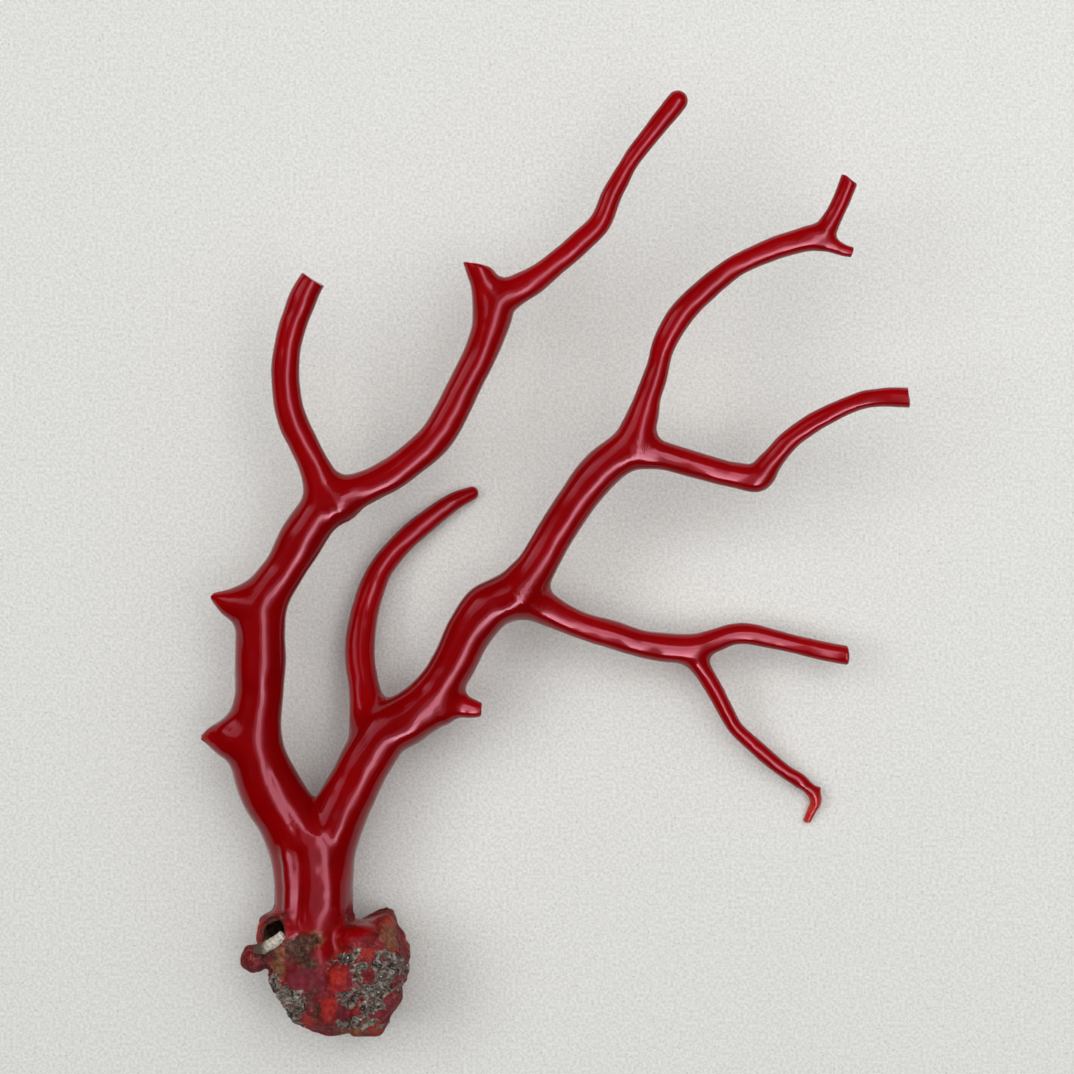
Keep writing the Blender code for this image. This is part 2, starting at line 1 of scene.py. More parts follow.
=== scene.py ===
"""Looks of a branch of precious red coral that lies on a pale floor.

Sizes are in millimetres and MM turns them into metres. The branch lies as the frame has it:
the holdfast's flat face is at the origin, +Y runs to the twigs and +Z is up.
"""

import itertools
import logging
import math
from dataclasses import dataclass, field
from enum import Enum

import bmesh
import bpy
import numpy as np
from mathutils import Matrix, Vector


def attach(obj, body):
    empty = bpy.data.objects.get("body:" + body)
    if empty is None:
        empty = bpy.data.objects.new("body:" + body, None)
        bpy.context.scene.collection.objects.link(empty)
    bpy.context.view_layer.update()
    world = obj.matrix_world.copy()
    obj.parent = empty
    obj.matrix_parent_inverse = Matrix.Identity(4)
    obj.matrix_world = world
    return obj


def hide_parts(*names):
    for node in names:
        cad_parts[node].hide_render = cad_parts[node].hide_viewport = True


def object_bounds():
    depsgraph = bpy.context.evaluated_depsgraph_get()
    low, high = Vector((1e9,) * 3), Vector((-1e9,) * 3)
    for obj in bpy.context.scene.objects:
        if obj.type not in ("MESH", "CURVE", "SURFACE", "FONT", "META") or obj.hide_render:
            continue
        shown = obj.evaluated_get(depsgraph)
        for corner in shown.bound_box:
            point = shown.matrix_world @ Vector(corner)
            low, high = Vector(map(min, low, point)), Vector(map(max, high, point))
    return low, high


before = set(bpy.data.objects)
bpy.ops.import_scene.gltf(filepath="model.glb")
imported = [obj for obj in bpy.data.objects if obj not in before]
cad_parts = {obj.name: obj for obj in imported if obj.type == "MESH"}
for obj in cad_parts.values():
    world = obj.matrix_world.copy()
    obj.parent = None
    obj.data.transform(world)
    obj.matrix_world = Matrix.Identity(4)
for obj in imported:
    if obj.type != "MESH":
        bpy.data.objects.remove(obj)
CAD_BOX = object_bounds()

MM = 0.001

# Stands for a distance beyond every form's reach
FAR = 50.0
# How far from a limb its field is worked out, and for how many points at a time
FIELD_REACH = 5.0
FIELD_ROWS = 4000
# Limbs thicker than this get no wider web, and no web is narrower than LEAST_WEB
WEB_GIRTH = 2.6
LEAST_WEB = 1e-4
# The least length that anything is divided by
TINY = 1e-6
# Vertices closer than this, in metres, become one
WELD = 1e-6
# A tube's roundness, and where on its closing dome the rings lie
TUBE_ROUNDNESS = 4
DOME_DEGREES = (20, 40, 58, 74, 86)
# Large odd numbers that scramble a cell's place into a number that looks random
CELL_FACTORS = (374761393, 668265263, 2147483629)
SEED_FACTOR = 1274126177
MIX_FACTOR = 1103515245
LAST_BITS = 0xFFFFFF

LOG = logging.getLogger("red_coral_branch")

Route = tuple[tuple[float, float, float, float], ...]
Layers = tuple[tuple[float, float, int], ...]
Point = tuple[float, float, float]
Colour = tuple[float, float, float]


class Slot(Enum):
    """The record's material slots that the visible pieces take."""

    POLISHED = "polished_coral"
    CHALK = "worm_chalk"


class Zone(Enum):
    """Kinds of surface on the holdfast, each one a painted field on the skin."""

    CRUST = "crust"
    # Dark patches: some are real soot, some are painted shade beside the worm tube's end and down
    # the worm's shaft
    SOOT = "soot_and_shade"
    OCHRE = "ochre"
    # Orange-red coral on the nodules, its brightest tone a painted highlight
    EMBER = "ember_and_highlight"
    ROUGH = "rough"
    PLUM = "plum"


# Noise and fields


def lattice_value(cells: np.ndarray, seed: int) -> np.ndarray:
    """A steady random number from 0 to 1 for each whole-numbered cell.

    Args:
        cells: Cells as rows of three whole numbers.
        seed: Which of the endless sets of numbers to draw from.

    Returns:
        One number for each cell.
    """
    whole = cells.astype(np.int64)
    mixed = sum(whole[:, axis] * factor for axis, factor in enumerate(CELL_FACTORS))
    mixed = mixed + seed * SEED_FACTOR
    mixed = (mixed ^ (mixed >> 13)) * MIX_FACTOR
    mixed = (mixed ^ (mixed >> 16)) & LAST_BITS
    return mixed / LAST_BITS


def soft_noise(points: np.ndarray, size: float, seed: int) -> np.ndarray:
    """Smooth noise whose bumps are about size apart.

    Args:
        points: Places in millimetres.
        size: Width of a bump in millimetres.
        seed: Which noise to draw.

    Returns:
        A number from -1 to 1 for each point.
    """
    place = points / size
    base = np.floor(place)
    part = place - base
    fade = part * part * part * (part * (part * 6 - 15) + 10)
    total = np.zeros(len(points))
    for corner in itertools.product((0, 1), repeat=3):
        weight = np.prod(np.where(np.array(corner) == 1, fade, 1 - fade), axis=1)
        total += weight * lattice_value(base + corner, seed)
    return total * 2 - 1


def layered_noise(points: np.ndarray, layers: Layers) -> np.ndarray:
    """Add up layers of noise.

    Args:
        points: Places in millimetres.
        layers: Height, width of a bump and seed of each layer.

    Returns:
        The summed height at each point, in millimetres.
    """
    return sum(height * soft_noise(points, size, seed) for height, size, seed in layers)


def smooth_step(low: float, high: float, value: np.ndarray) -> np.ndarray:
    """An eased climb from 0 at low to 1 at high."""
    share = np.clip((value - low) / (high - low), 0.0, 1.0)
    return share * share * (3 - 2 * share)


@dataclass
class Field:
    """A signed distance at many points, with the way out and the girth of the limb nearby."""

    distance: np.ndarray
    slope: np.ndarray
    girth: np.ndarray


def empty_field(count: int) -> Field:
    """A field of nothing: everywhere far outside.

    Args:
        count: How many points it covers.

    Returns:
        The field.
    """
    slope = np.zeros((count, 3))
    slope[:, 2] = 1.0
    return Field(np.full(count, FAR), slope, np.ones(count))


def webbed_union(first: Field, second: Field, web: float) -> Field:
    """Join two forms and fill the angle between them with a web.

    Args:
        first: The form so far.
        second: The form to add.
        web: Size of the web as a share of the thinner limb's radius.

    Returns:
        The joined form.
    """
    facing = np.sum(first.slope * second.slope, axis=1)
    apart = np.sqrt(np.clip((1 - facing) / 2, 0.0, 1.0))
    thin = np.minimum(np.minimum(first.girth, second.girth), WEB_GIRTH)
    reach = web * thin * apart + LEAST_WEB
    share = np.clip(0.5 + 0.5 * (second.distance - first.distance) / reach, 0.0, 1.0)
    distance = second.distance * (1 - share) + first.distance * share - reach * share * (1 - share)
    slope = first.slope * share[:, None] + second.slope * (1 - share)[:, None]
    girth = first.girth * share + second.girth * (1 - share)
    return Field(distance, slope, girth)


def trimmed(form: Field, side: np.ndarray, outward: np.ndarray, rim: float) -> Field:
    """Take away what lies past a face, with a slightly worn rim.

    Args:
        form: The form to cut.
        side: How far each point lies past the face.
        outward: The face's outward direction at each point.
        rim: Width of the worn rim in millimetres.

    Returns:
        The cut form.
    """
    share = np.clip(0.5 + 0.5 * (side - form.distance) / rim, 0.0, 1.0)
    distance = form.distance * (1 - share) + side * share + rim * share * (1 - share)
    slope = form.slope * (1 - share)[:, None] + outward * share[:, None]
    return Field(distance, slope, form.girth)


def smooth_route(route: Route, step: float) -> np.ndarray:
    """Sample a smooth curve through a route's points.

    Args:
        route: Points of x, y, z and radius.
        step: Spacing of the samples in millimetres.

    Returns:
        Samples as rows of x, y, z and radius.
    """
    knots = np.array(route)
    chords = np.linalg.norm(np.diff(knots[:, :3], axis=0), axis=1)
    rates = np.diff(knots, axis=0) / chords[:, None]
    slopes = [rates[0]]
    for i in range(1, len(knots) - 1):
        total = chords[i - 1] + chords[i]
        slopes.append((rates[i - 1] * chords[i] + rates[i] * chords[i - 1]) / total)
    slopes.append(rates[-1])
    samples = []
    for i, chord in enumerate(chords):
        count = max(1, round(chord / step))
        for k in range(count):
            t = k / count
            start = knots[i] * (1 + 2 * t) * (1 - t) ** 2 + slopes[i] * chord * t * (1 - t) ** 2
            end = knots[i + 1] * t * t * (3 - 2 * t) + slopes[i + 1] * chord * t * t * (t - 1)
            samples.append(start + end)
    samples.append(knots[-1])
    return np.array(samples)


# The coral's own forms


@dataclass(frozen=True)
class BrokenFace:
    """A flat broken end: a point on it and the way that it looks."""

    point: Point
    outward: Point
    rim: float = 0.16
    grain: Layers = ((0.10, 1.1, 31),)


@dataclass(frozen=True)
class Limb:
    """One limb: a route of x, y, z and radius, its broken face, if any, and its web."""

    name: str
    route: Route
    broken: BrokenFace | None = None
    web: float = 1.3
    step: float = 0.4
    stock: float = 1.0

    def samples(self) -> np.ndarray:
        """The sampled route, carried on past a broken face.

        Returns:
            Rows of x, y, z and radius in millimetres.
        """
        samples = smooth_route(self.route, self.step)
        if self.broken is None:
            return samples
        way = samples[-1] - samples[-2]
        tip = samples[-1] + way / np.linalg.norm(way[:3]) * self.stock
        tip[3] = samples[-1][3]
        return np.vstack([samples, tip])

    def field(self, points: np.ndarray) -> Field:
        """The limb's own field.

        Args:
            points: Places in millimetres.

        Returns:
            The field, far outside beyond FIELD_REACH.
        """
        samples = self.samples()
        result = empty_field(len(points))
        low = (samples[:, :3] - samples[:, 3:]).min(axis=0) - FIELD_REACH
        high = (samples[:, :3] + samples[:, 3:]).max(axis=0) + FIELD_REACH
        near = np.flatnonzero(np.all((points > low) & (points < high), axis=1))
        starts = samples[:-1, :3]
        spans = samples[1:, :3] - starts
        lengths = np.sum(spans * spans, axis=1)
        grows = np.diff(samples[:, 3])
        for rows in np.array_split(near, max(1, len(near) // FIELD_ROWS)):
            place = points[rows]
            away = place[:, None, :] - starts[None, :, :]
            along = np.clip(np.einsum("psk,sk->ps", away, spans) / lengths, 0.0, 1.0)
            radius = samples[:-1, 3] + along * grows
            out = away - along[:, :, None] * spans[None, :, :]
            size = np.linalg.norm(out, axis=2)
            best = np.argmin(size - radius, axis=1)
            pick = np.arange(len(rows))
            span = np.maximum(size[pick, best], TINY)
            result.distance[rows] = span - radius[pick, best]
            result.slope[rows] = out[pick, best] / span[:, None]
            result.girth[rows] = radius[pick, best]
        if self.broken is not None and len(near):
            result = self.break_off(result, points)
        return result

    def break_off(self, form: Field, points: np.ndarray) -> Field:
        """Cut the limb at its broken face.

        Args:
            form: The limb's whole field.
            points: Places in millimetres.

        Returns:
            The field of the broken limb.
        """
        outward = np.array(self.broken.outward)
        outward = outward / np.linalg.norm(outward)
        side = (points - np.array(self.broken.point)) @ outward
        side = side + layered_noise(points, self.broken.grain)
        ways = np.broadcast_to(outward, points.shape)
        cut = trimmed(form, side, ways, self.broken.rim)
        near = form.distance < FAR
        cut.distance = np.where(near, cut.distance, form.distance)
        return cut


@dataclass(frozen=True)
class Block:
    """A block of the holdfast: an outline in plan, and its share of width at some heights."""

    outline: tuple[tuple[float, float], ...]
    levels: tuple[tuple[float, float], ...]
    edge: float = 0.40
    girth: float = 1.6

    def corners(self) -> np.ndarray:
        """Every corner of the block in millimetres.

        Returns:
            The corners as rows of x, y and z.
        """
        middle = np.mean(self.outline, axis=0)
        rows = []
        for height, share in self.levels:
            for corner in self.outline:
                rows.append((*(middle + (np.array(corner) - middle) * share), height))
        return np.array(rows)

    def add_to(self, bm: bmesh.types.BMesh) -> None:
        """Add the block's hull to a mesh, in metres.

        Args:
            bm: The mesh to add to.
        """
        verts = [bm.verts.new(corner * MM) for corner in self.corners()]
        hull = bmesh.ops.convex_hull(bm, input=verts)
        inside = [item for item in hull["geom_interior"] if isinstance(item, bmesh.types.BMVert)]
        bmesh.ops.delete(bm, geom=inside, context="VERTS")

    def field(self, points: np.ndarray) -> Field:
        """The block's field, with worn edges.

        Args:
            points: Places in millimetres.

        Returns:
            The field.
        """
        bm = bmesh.new()
        self.add_to(bm)
        bm.normal_update()
        normals = np.array([face.normal[:] for face in bm.faces])
        levels = np.array([face.normal.dot(face.verts[0].co) / MM for face in bm.faces])
        bm.free()
        heights = points @ normals.T - levels
        top = heights.max(axis=1, keepdims=True)
        weights = np.exp((heights - top) / self.edge)
        total = weights.sum(axis=1, keepdims=True)
        slope = (weights @ normals) / total
        distance = (top + self.edge * np.log(total) * 0.5)[:, 0]
        return Field(distance, slope, np.full(len(points), self.girth))


@dataclass(frozen=True)
class Lobe:
    """A rounder growth: centre and half widths."""

    centre: Point
    half_widths: Point
    girth: float = 0.8

    def add_to(self, bm: bmesh.types.BMesh) -> None:
        """Add the lobe to a mesh, in metres.

        Args:
            bm: The mesh to add to.
        """
        ball = bmesh.ops.create_icosphere(bm, subdivisions=4, radius=1.0)
        bmesh.ops.scale(bm, vec=Vector(self.half_widths) * MM, verts=ball["verts"])
        bmesh.ops.translate(bm, vec=Vector(self.centre) * MM, verts=ball["verts"])

    def field(self, points: np.ndarray) -> Field:
        """The lobe's field.

        Args:
            points: Places in millimetres.

        Returns:
            The field.
        """
        away = points - np.array(self.centre)
        widths = np.array(self.half_widths)
        share = np.linalg.norm(away / widths, axis=1)
        steep = away / (widths * widths)
        size = np.maximum(np.linalg.norm(steep, axis=1), TINY)
        distance = share * (share - 1) / size
        return Field(distance, steep / size[:, None], np.full(len(points), self.girth))


TRUNK = Limb("trunk", (
    (-2.9, 0.0, 9.2, 6.0), (-2.9, 7.0, 9.5, 6.3), (-2.9, 12.0, 9.6, 6.2),
    (-2.9, 16.0, 9.7, 6.2), (-2.9, 20.0, 10.0, 6.0),
))
LEFT_LIMB = Limb("left_limb", (
    (-3.3, 14.5, 9.8, 5.8), (-4.6, 20.0, 10.2, 5.4), (-6.9, 25.0, 10.7, 5.0),
    (-9.9, 30.0, 11.1, 4.95), (-11.7, 35.0, 11.5, 4.45), (-12.05, 40.0, 11.9, 4.15),
    (-11.3, 45.0, 12.3, 3.92), (-11.25, 50.0, 12.7, 4.15), (-11.2, 55.0, 13.0, 4.05),
    (-10.2, 60.0, 13.4, 3.8), (-7.15, 65.0, 13.8, 3.4), (-4.2, 70.0, 14.1, 3.65),
    (-1.5, 74.0, 14.4, 3.55), (0.4, 76.6, 14.6, 3.3),
))
LOWER_THORN = Limb("lower_thorn", (
    (-12.6, 38.0, 11.9, 4.2), (-15.0, 37.8, 12.0, 3.7), (-16.7, 37.9, 12.0, 2.75),
    (-18.3, 38.1, 12.1, 1.72), (-19.4, 38.05, 12.1, 1.0), (-20.3, 38.0, 12.1, 0.42),
    (-20.85, 37.95, 12.1, 0.1),
))
UPPER_THORN = Limb("upper_thorn", (
    (-11.3, 58.9, 13.3, 4.1), (-13.0, 59.2, 13.5, 3.6), (-14.9, 59.4, 13.7, 2.7),
    (-16.75, 59.97, 13.9, 1.62), (-18.15, 60.5, 14.0, 0.82), (-19.55, 61.05, 14.1, 0.1),
))
OUTER_BRANCH = Limb("left_outer_branch", (
    (-0.5, 76.0, 14.7, 3.3), (-1.35, 79.0, 15.3, 2.85), (-2.55, 82.0, 15.9, 2.4),
    (-4.0, 85.0, 16.5, 2.3), (-5.4, 88.0, 17.0, 2.35), (-6.1, 90.0, 17.3, 2.4),
    (-6.5, 92.5, 17.6, 2.35), (-6.7, 95.0, 17.9, 2.2), (-6.65, 97.5, 18.1, 2.15),
    (-6.35, 100.0, 18.3, 2.05), (-5.8, 102.5, 18.5, 2.05), (-5.0, 105.0, 18.6, 2.05),
    (-3.75, 108.0, 18.8, 2.15), (-2.1, 110.8, 19.0, 2.1),
), BrokenFace((-2.1, 110.75, 19.0), (0.50, 0.86, 0.08)))
INNER_BRANCH = Limb("left_inner_branch", (
    (1.4, 75.7, 14.6, 3.6), (4.0, 77.2, 14.7, 2.95), (7.0, 78.5, 14.8, 2.68),
    (10.0, 80.1, 14.9, 2.65), (13.5, 82.7, 15.0, 2.68), (16.9, 85.9, 15.1, 2.65),
    (19.5, 90.0, 15.2, 2.62), (21.9, 95.0, 15.3, 2.7), (24.3, 100.0, 15.4, 2.72),
    (26.1, 105.0, 15.5, 2.95), (26.9, 107.5, 15.6, 3.0), (29.1, 109.0, 15.7, 2.55),
    (32.5, 110.8, 15.9, 2.2), (36.1, 113.6, 16.1, 1.9), (40.0, 116.9, 16.3, 1.82),
    (43.0, 120.0, 16.4, 1.7), (45.2, 125.0, 16.6, 1.6), (48.1, 130.0, 16.8, 1.5),
    (52.0, 135.0, 17.0, 1.52), (55.4, 139.3, 17.2, 1.6),
))
INNER_STUB = Limb("inner_stub", (
    (25.6, 106.5, 15.6, 2.8), (24.95, 109.2, 16.1, 2.35), (24.5, 111.1, 16.5, 2.3),
    (23.9, 112.3, 16.8, 2.2), (23.3, 113.7, 17.0, 2.0),
), BrokenFace((23.0, 113.6, 17.0), (0.16, 0.98, 0.02), 0.8))
RIGHT_LOWER = Limb("right_lower_limb", (
    (-2.5, 14.5, 9.7, 5.8), (-1.2, 20.0, 9.9, 5.2), (1.0, 25.0, 10.1, 4.55),
    (3.55, 30.0, 10.2, 4.2), (6.2, 35.0, 10.3, 4.3), (8.6, 38.8, 10.4, 4.4),
    (13.0, 41.4, 10.7, 4.3), (16.6, 45.0, 11.1, 3.75), (19.5, 49.5, 11.6, 3.65),
    (22.2, 54.8, 12.1, 3.7), (25.6, 59.1, 12.6, 3.85), (30.6, 61.2, 13.0, 3.7),
), web=0.6)
MIDDLE_STUB = Limb("middle_stub", (
    (16.9, 42.9, 10.8, 3.6), (20.2, 43.1, 11.0, 2.2), (22.6, 42.6, 11.1, 1.6),
    (24.2, 42.4, 11.1, 1.05),
), BrokenFace((24.2, 42.4, 11.1), (0.98, -0.17, 0.0)))
MIDDLE_BRANCH = Limb("middle_branch", (
    (7.0, 36.5, 9.9, 3.9), (5.9, 41.0, 8.8, 3.1), (5.3, 45.0, 7.7, 2.7),
    (4.4, 50.0, 6.5, 2.55), (4.5, 55.0, 5.4, 2.47), (5.6, 60.0, 4.5, 2.22),
    (7.5, 64.6, 3.7, 2.0), (10.0, 68.0, 3.1, 1.93), (12.5, 70.6, 2.7, 1.85),
    (15.0, 72.6, 2.35, 1.8), (20.0, 76.2, 1.65, 1.48), (22.4, 77.3, 1.17, 1.17),
))
RIGHT_UPPER = Limb("right_upper_limb", (
    (29.6, 61.2, 13.1, 3.9), (32.4, 64.5, 13.5, 3.35), (35.55, 70.0, 14.1, 3.05),
    (38.7, 75.0, 14.8, 3.12), (42.2, 79.7, 15.5, 3.15), (46.0, 83.0, 16.2, 3.05),
    (49.2, 84.9, 16.8, 2.9),
))
UPPER_BRANCH = Limb("upper_branch", (
    (48.0, 84.6, 16.8, 3.0), (49.6, 88.5, 17.4, 2.55), (50.6, 92.0, 17.8, 2.05),
    (51.8, 95.5, 18.2, 2.0), (53.0, 100.0, 18.7, 1.92), (55.5, 104.8, 19.1, 1.92),
    (60.0, 109.4, 19.5, 1.92), (65.0, 113.2, 19.8, 1.82), (70.0, 115.4, 20.0, 1.85),
    (75.0, 117.0, 20.2, 1.95), (78.2, 118.2, 20.4, 1.9), (79.7, 120.5, 20.8, 1.6),
    (80.75, 122.7, 21.2, 1.47), (81.65, 125.0, 21.6, 1.45), (82.3, 126.65, 21.9, 1.45),
), BrokenFace((82.15, 126.3, 21.9), (0.575, 0.818, 0.1), 0.4))
UPPER_STUB = Limb("upper_stub", (
    (76.8, 116.8, 20.3, 1.7), (79.7, 116.1, 20.1, 1.3), (81.4, 115.35, 19.9, 1.05),
    (82.85, 115.0, 19.7, 0.92),
), BrokenFace((82.85, 115.0, 19.7), (0.97, -0.22, -0.1)))
ELBOW_BRANCH = Limb("elbow_branch", (
    (48.6, 83.7, 16.6, 2.85), (52.0, 83.2, 16.7, 2.45), (55.0, 82.5, 16.7, 2.25),
    (60.0, 81.1, 16.3, 2.05), (65.0, 79.8, 15.4, 2.15), (68.1, 79.6, 15.0, 2.4),
    (70.1, 81.9, 15.4, 1.95), (73.0, 85.3, 16.2, 1.67), (77.0, 88.2, 17.2, 1.6),
    (80.0, 89.85, 17.9, 1.53), (82.5, 91.0, 18.3, 1.53), (85.0, 91.85, 18.6, 1.6),
    (87.5, 92.15, 18.8, 1.57), (91.75, 92.1, 19.0, 1.55),
), BrokenFace((91.75, 92.1, 19.0), (0.99, 0.12, 0.05)))
RIGHT_SIDE = Limb("right_side_limb", (
    (29.5, 60.6, 12.9, 3.5), (33.3, 59.2, 12.2, 2.85), (37.5, 57.1, 11.3, 2.35),
    (40.0, 56.0, 10.8, 2.2), (45.0, 54.4, 9.9, 2.3), (50.0, 52.9, 9.2, 2.2),
    (55.0, 52.2, 8.5, 2.35), (58.4, 52.2, 8.1, 2.4), (61.8, 53.3, 7.8, 1.95),
    (65.0, 54.35, 7.5, 1.75), (67.0, 54.45, 7.3, 1.8), (70.0, 53.85, 7.1, 1.72),
    (75.0, 52.7, 6.8, 1.5), (80.0, 51.5, 6.6, 1.5), (83.5, 50.9, 6.5, 1.5),
), BrokenFace((83.45, 50.95, 6.5), (0.99, -0.02, -0.02), 0.4))
HOOKED_TWIG = Limb("hooked_twig", (
    (57.5, 51.8, 8.0, 2.3), (59.1, 49.9, 7.5, 1.85), (60.2, 48.2, 7.1, 1.5),
    (61.9, 45.3, 6.4, 1.33), (63.8, 41.7, 5.4, 1.25), (65.4, 39.05, 4.6, 1.22),
    (68.0, 36.5, 3.9, 1.2), (71.2, 33.7, 3.1, 1.2), (74.4, 31.3, 2.5, 1.14),
    (76.1, 30.25, 2.2, 1.26), (77.4, 29.2, 1.95, 1.05), (78.45, 28.2, 1.6, 1.05),
    (78.75, 26.7, 1.25, 0.98), (78.1, 25.2, 0.9, 0.80), (77.6, 24.0, 0.62, 0.72),
), BrokenFace((77.5, 23.2, 0.6), (-0.33, -0.94, 0.0), 0.3))
KNUCKLE = Limb("knuckle", (
    (78.1, 28.3, 1.7, 1.0), (78.95, 28.75, 1.7, 0.62), (79.35, 28.98, 1.7, 0.30),
))
LIMBS = (TRUNK, LEFT_LIMB, RIGHT_LOWER, LOWER_THORN, UPPER_THORN, OUTER_BRANCH, INNER_BRANCH,
         INNER_STUB, MIDDLE_STUB, MIDDLE_BRANCH, RIGHT_UPPER, RIGHT_SIDE, UPPER_BRANCH,
         UPPER_STUB, ELBOW_BRANCH, HOOKED_TWIG, KNUCKLE)

HOLDFAST_BLOCKS = (
    Block(((-9.6, 10.2), (-11.5, 9.4), (-12.1, 8.4), (-12.3, 5.2), (-10.6, 1.0), (-4.0, -2.0),
           (0.0, 4.0), (-3.0, 9.2)),
          ((-1.5, 0.66), (3.5, 0.92), (9.0, 1.0), (13.0, 0.90), (16.2, 0.52))),
    Block(((-10.5, 0.8), (-10.2, -1.2), (-9.2, -3.6), (-7.7, -5.2), (-7.0, -7.0), (-6.0, -8.1),
           (-4.3, -8.9), (-1.0, -10.2), (3.2, -10.2), (6.0, -5.0), (3.0, 5.0), (-5.0, 6.0)),
          ((-1.5, 0.78), (4.0, 0.96), (9.0, 1.0), (13.0, 0.93), (17.2, 0.58))),
    Block(((0.5, 6.9), (4.0, 7.8), (7.0, 9.2), (8.7, 10.1), (9.7, 9.8), (12.0, 5.2),
           (12.8, 3.2), (12.3, -1.6), (10.6, -5.2), (5.5, -7.5), (-1.0, -3.0)),
          ((-1.5, 0.72), (3.5, 0.94), (9.0, 1.0), (13.0, 0.92), (17.4, 0.55))),
    Block(((2.6, -10.4), (8.0, -10.6), (8.8, -8.8), (9.6, -7.0), (10.8, -4.8), (6.0, -1.0),
           (1.0, -4.0)),
          ((-1.0, 0.76), (4.0, 0.98), (9.5, 1.0), (14.0, 0.84), (16.4, 0.5))),
)
HOLDFAST_LOBES = (
    Lobe((-0.4, -5.0, 15.4), (2.2, 2.6, 2.5)),
    Lobe((1.7, -0.2, 15.4), (2.6, 3.1, 2.4)),
    Lobe((5.4, 5.6, 14.0), (3.9, 2.7, 3.2)),
    Lobe((-2.2, 3.2, 12.4), (3.4, 6.2, 4.6)),
    Lobe((8.8, -3.4, 13.2), (2.6, 2.0, 2.6)),
    Lobe((-12.4, 2.4, 10.6), (2.2, 2.15, 2.0)),
    Lobe((-10.2, 2.6, 9.8), (2.0, 1.6, 2.4)),
)
WORM_SHAFT = Limb("worm_shaft", (
    (-8.25, 7.1, 8.5, 1.1), (-8.55, 7.2, 11.5, 1.45), (-8.9, 7.35, 14.5, 1.62),
    (-9.15, 7.5, 20.0, 1.75),
))


@dataclass(frozen=True)
class Stroke:
    """A ridge along a line in plan, or a groove where its height is negative."""

    line: tuple[tuple[float, float], ...]
    height: float
    half_width: float
    floor: float = 10.0
    taper: float = 0.8

    def rise(self, points: np.ndarray) -> np.ndarray:
        """How far the stroke lifts each point, in millimetres.

        Args:
            points: Places in millimetres.

        Returns:
            A height for each point.
        """
        knots = np.array(self.line)
        near = np.full(len(points), FAR)
        along_line = np.zeros(len(points))
        for number, (start, end) in enumerate(zip(knots, knots[1:])):
            span = end - start
            along = np.clip((points[:, :2] - start) @ span / (span @ span), 0.0, 1.0)
            away = np.linalg.norm(points[:, :2] - start - along[:, None] * span, axis=1)
            along_line = np.where(away < near, number + along, along_line)
            near = np.minimum(near, away)
        count = len(knots) - 1
        fade = smooth_step(0.0, self.taper, along_line)
        fade = fade * smooth_step(0.0, self.taper, count - along_line)
        profile = np.exp(-(near / self.half_width) ** 2)
        return self.height * profile * fade * (points[:, 2] > self.floor)


STROKES = (
    Stroke(((-2.4, 8.0), (-2.3, 12.0), (-2.3, 16.0), (-2.1, 20.0), (-2.0, 23.5)), -0.42, 2.3),
    Stroke(((-6.4, 8.0), (-6.5, 11.0), (-6.4, 14.0), (-6.8, 18.0), (-7.7, 22.5)), 0.68, 0.74),
    Stroke(((-5.0, 6.0), (-4.9, 10.5), (-4.6, 14.0), (-4.6, 18.0), (-5.4, 22.0)), -0.34, 0.75),
    Stroke(((-4.4, 21.5), (-6.4, 25.5), (-9.0, 30.5), (-10.4, 35.0)), -0.16, 0.6),
    Stroke(((0.4, 9.0), (0.6, 13.0), (0.3, 18.0), (1.6, 22.5), (3.6, 27.0)), 0.12, 1.1),
    Stroke(((-0.6, 21.0), (1.4, 26.0), (3.6, 31.0), (5.0, 34.0)), -0.13, 0.85),
    Stroke(((-14.6, 58.6), (-13.4, 55.0), (-12.6, 51.5)), 0.28, 0.5),
    Stroke(((-18.6, 38.9), (-16.6, 40.4), (-14.6, 41.6)), 0.22, 0.55),
    Stroke(((80.4, 116.5), (79.0, 117.6), (77.6, 118.6)), 0.16, 0.4),
    Stroke(((78.6, 115.4), (80.6, 115.0)), 0.20, 0.35),
)


# Where each kind of surface lies on the holdfast, as seen from above at READ_HEIGHT

READ_HEIGHT = 10.0
# The rough coral ends at HOLDFAST_END. Down the sides, between these two heights, loose
# patches of noise take over from what was read from above
HOLDFAST_END = 13.0
SIDES_FROM = 10.5
SIDES_FULL = 6.5
SIDE_PATCHES = (2.2, 4.0, 90)
BORDER_NOISE = ((1.0, 1.6, 0), (0.5, 0.6, 7))
NOT_HERE = -2.0


@dataclass(frozen=True)
class Patch:
    """An oval patch in plan: centre, half widths and turn in degrees."""

    u: float
    v: float
    half_u: float
    half_v: float
    turn: float = 0.0

    def depth(self, plan: np.ndarray) -> np.ndarray:
        """How deep inside the patch each place lies, in millimetres, negative outside.

        Args:
            plan: Places in plan, in millimetres.

        Returns:
            A depth for each place.
        """
        angle = math.radians(self.turn)
        du = plan[:, 0] - self.u
        dv = plan[:, 1] - self.v
        along = du * math.cos(angle) + dv * math.sin(angle)
        across = dv * math.cos(angle) - du * math.sin(angle)
        share = np.sqrt((along / self.half_u) ** 2 + (across / self.half_v) ** 2)
        return (1 - share) * min(self.half_u, self.half_v)


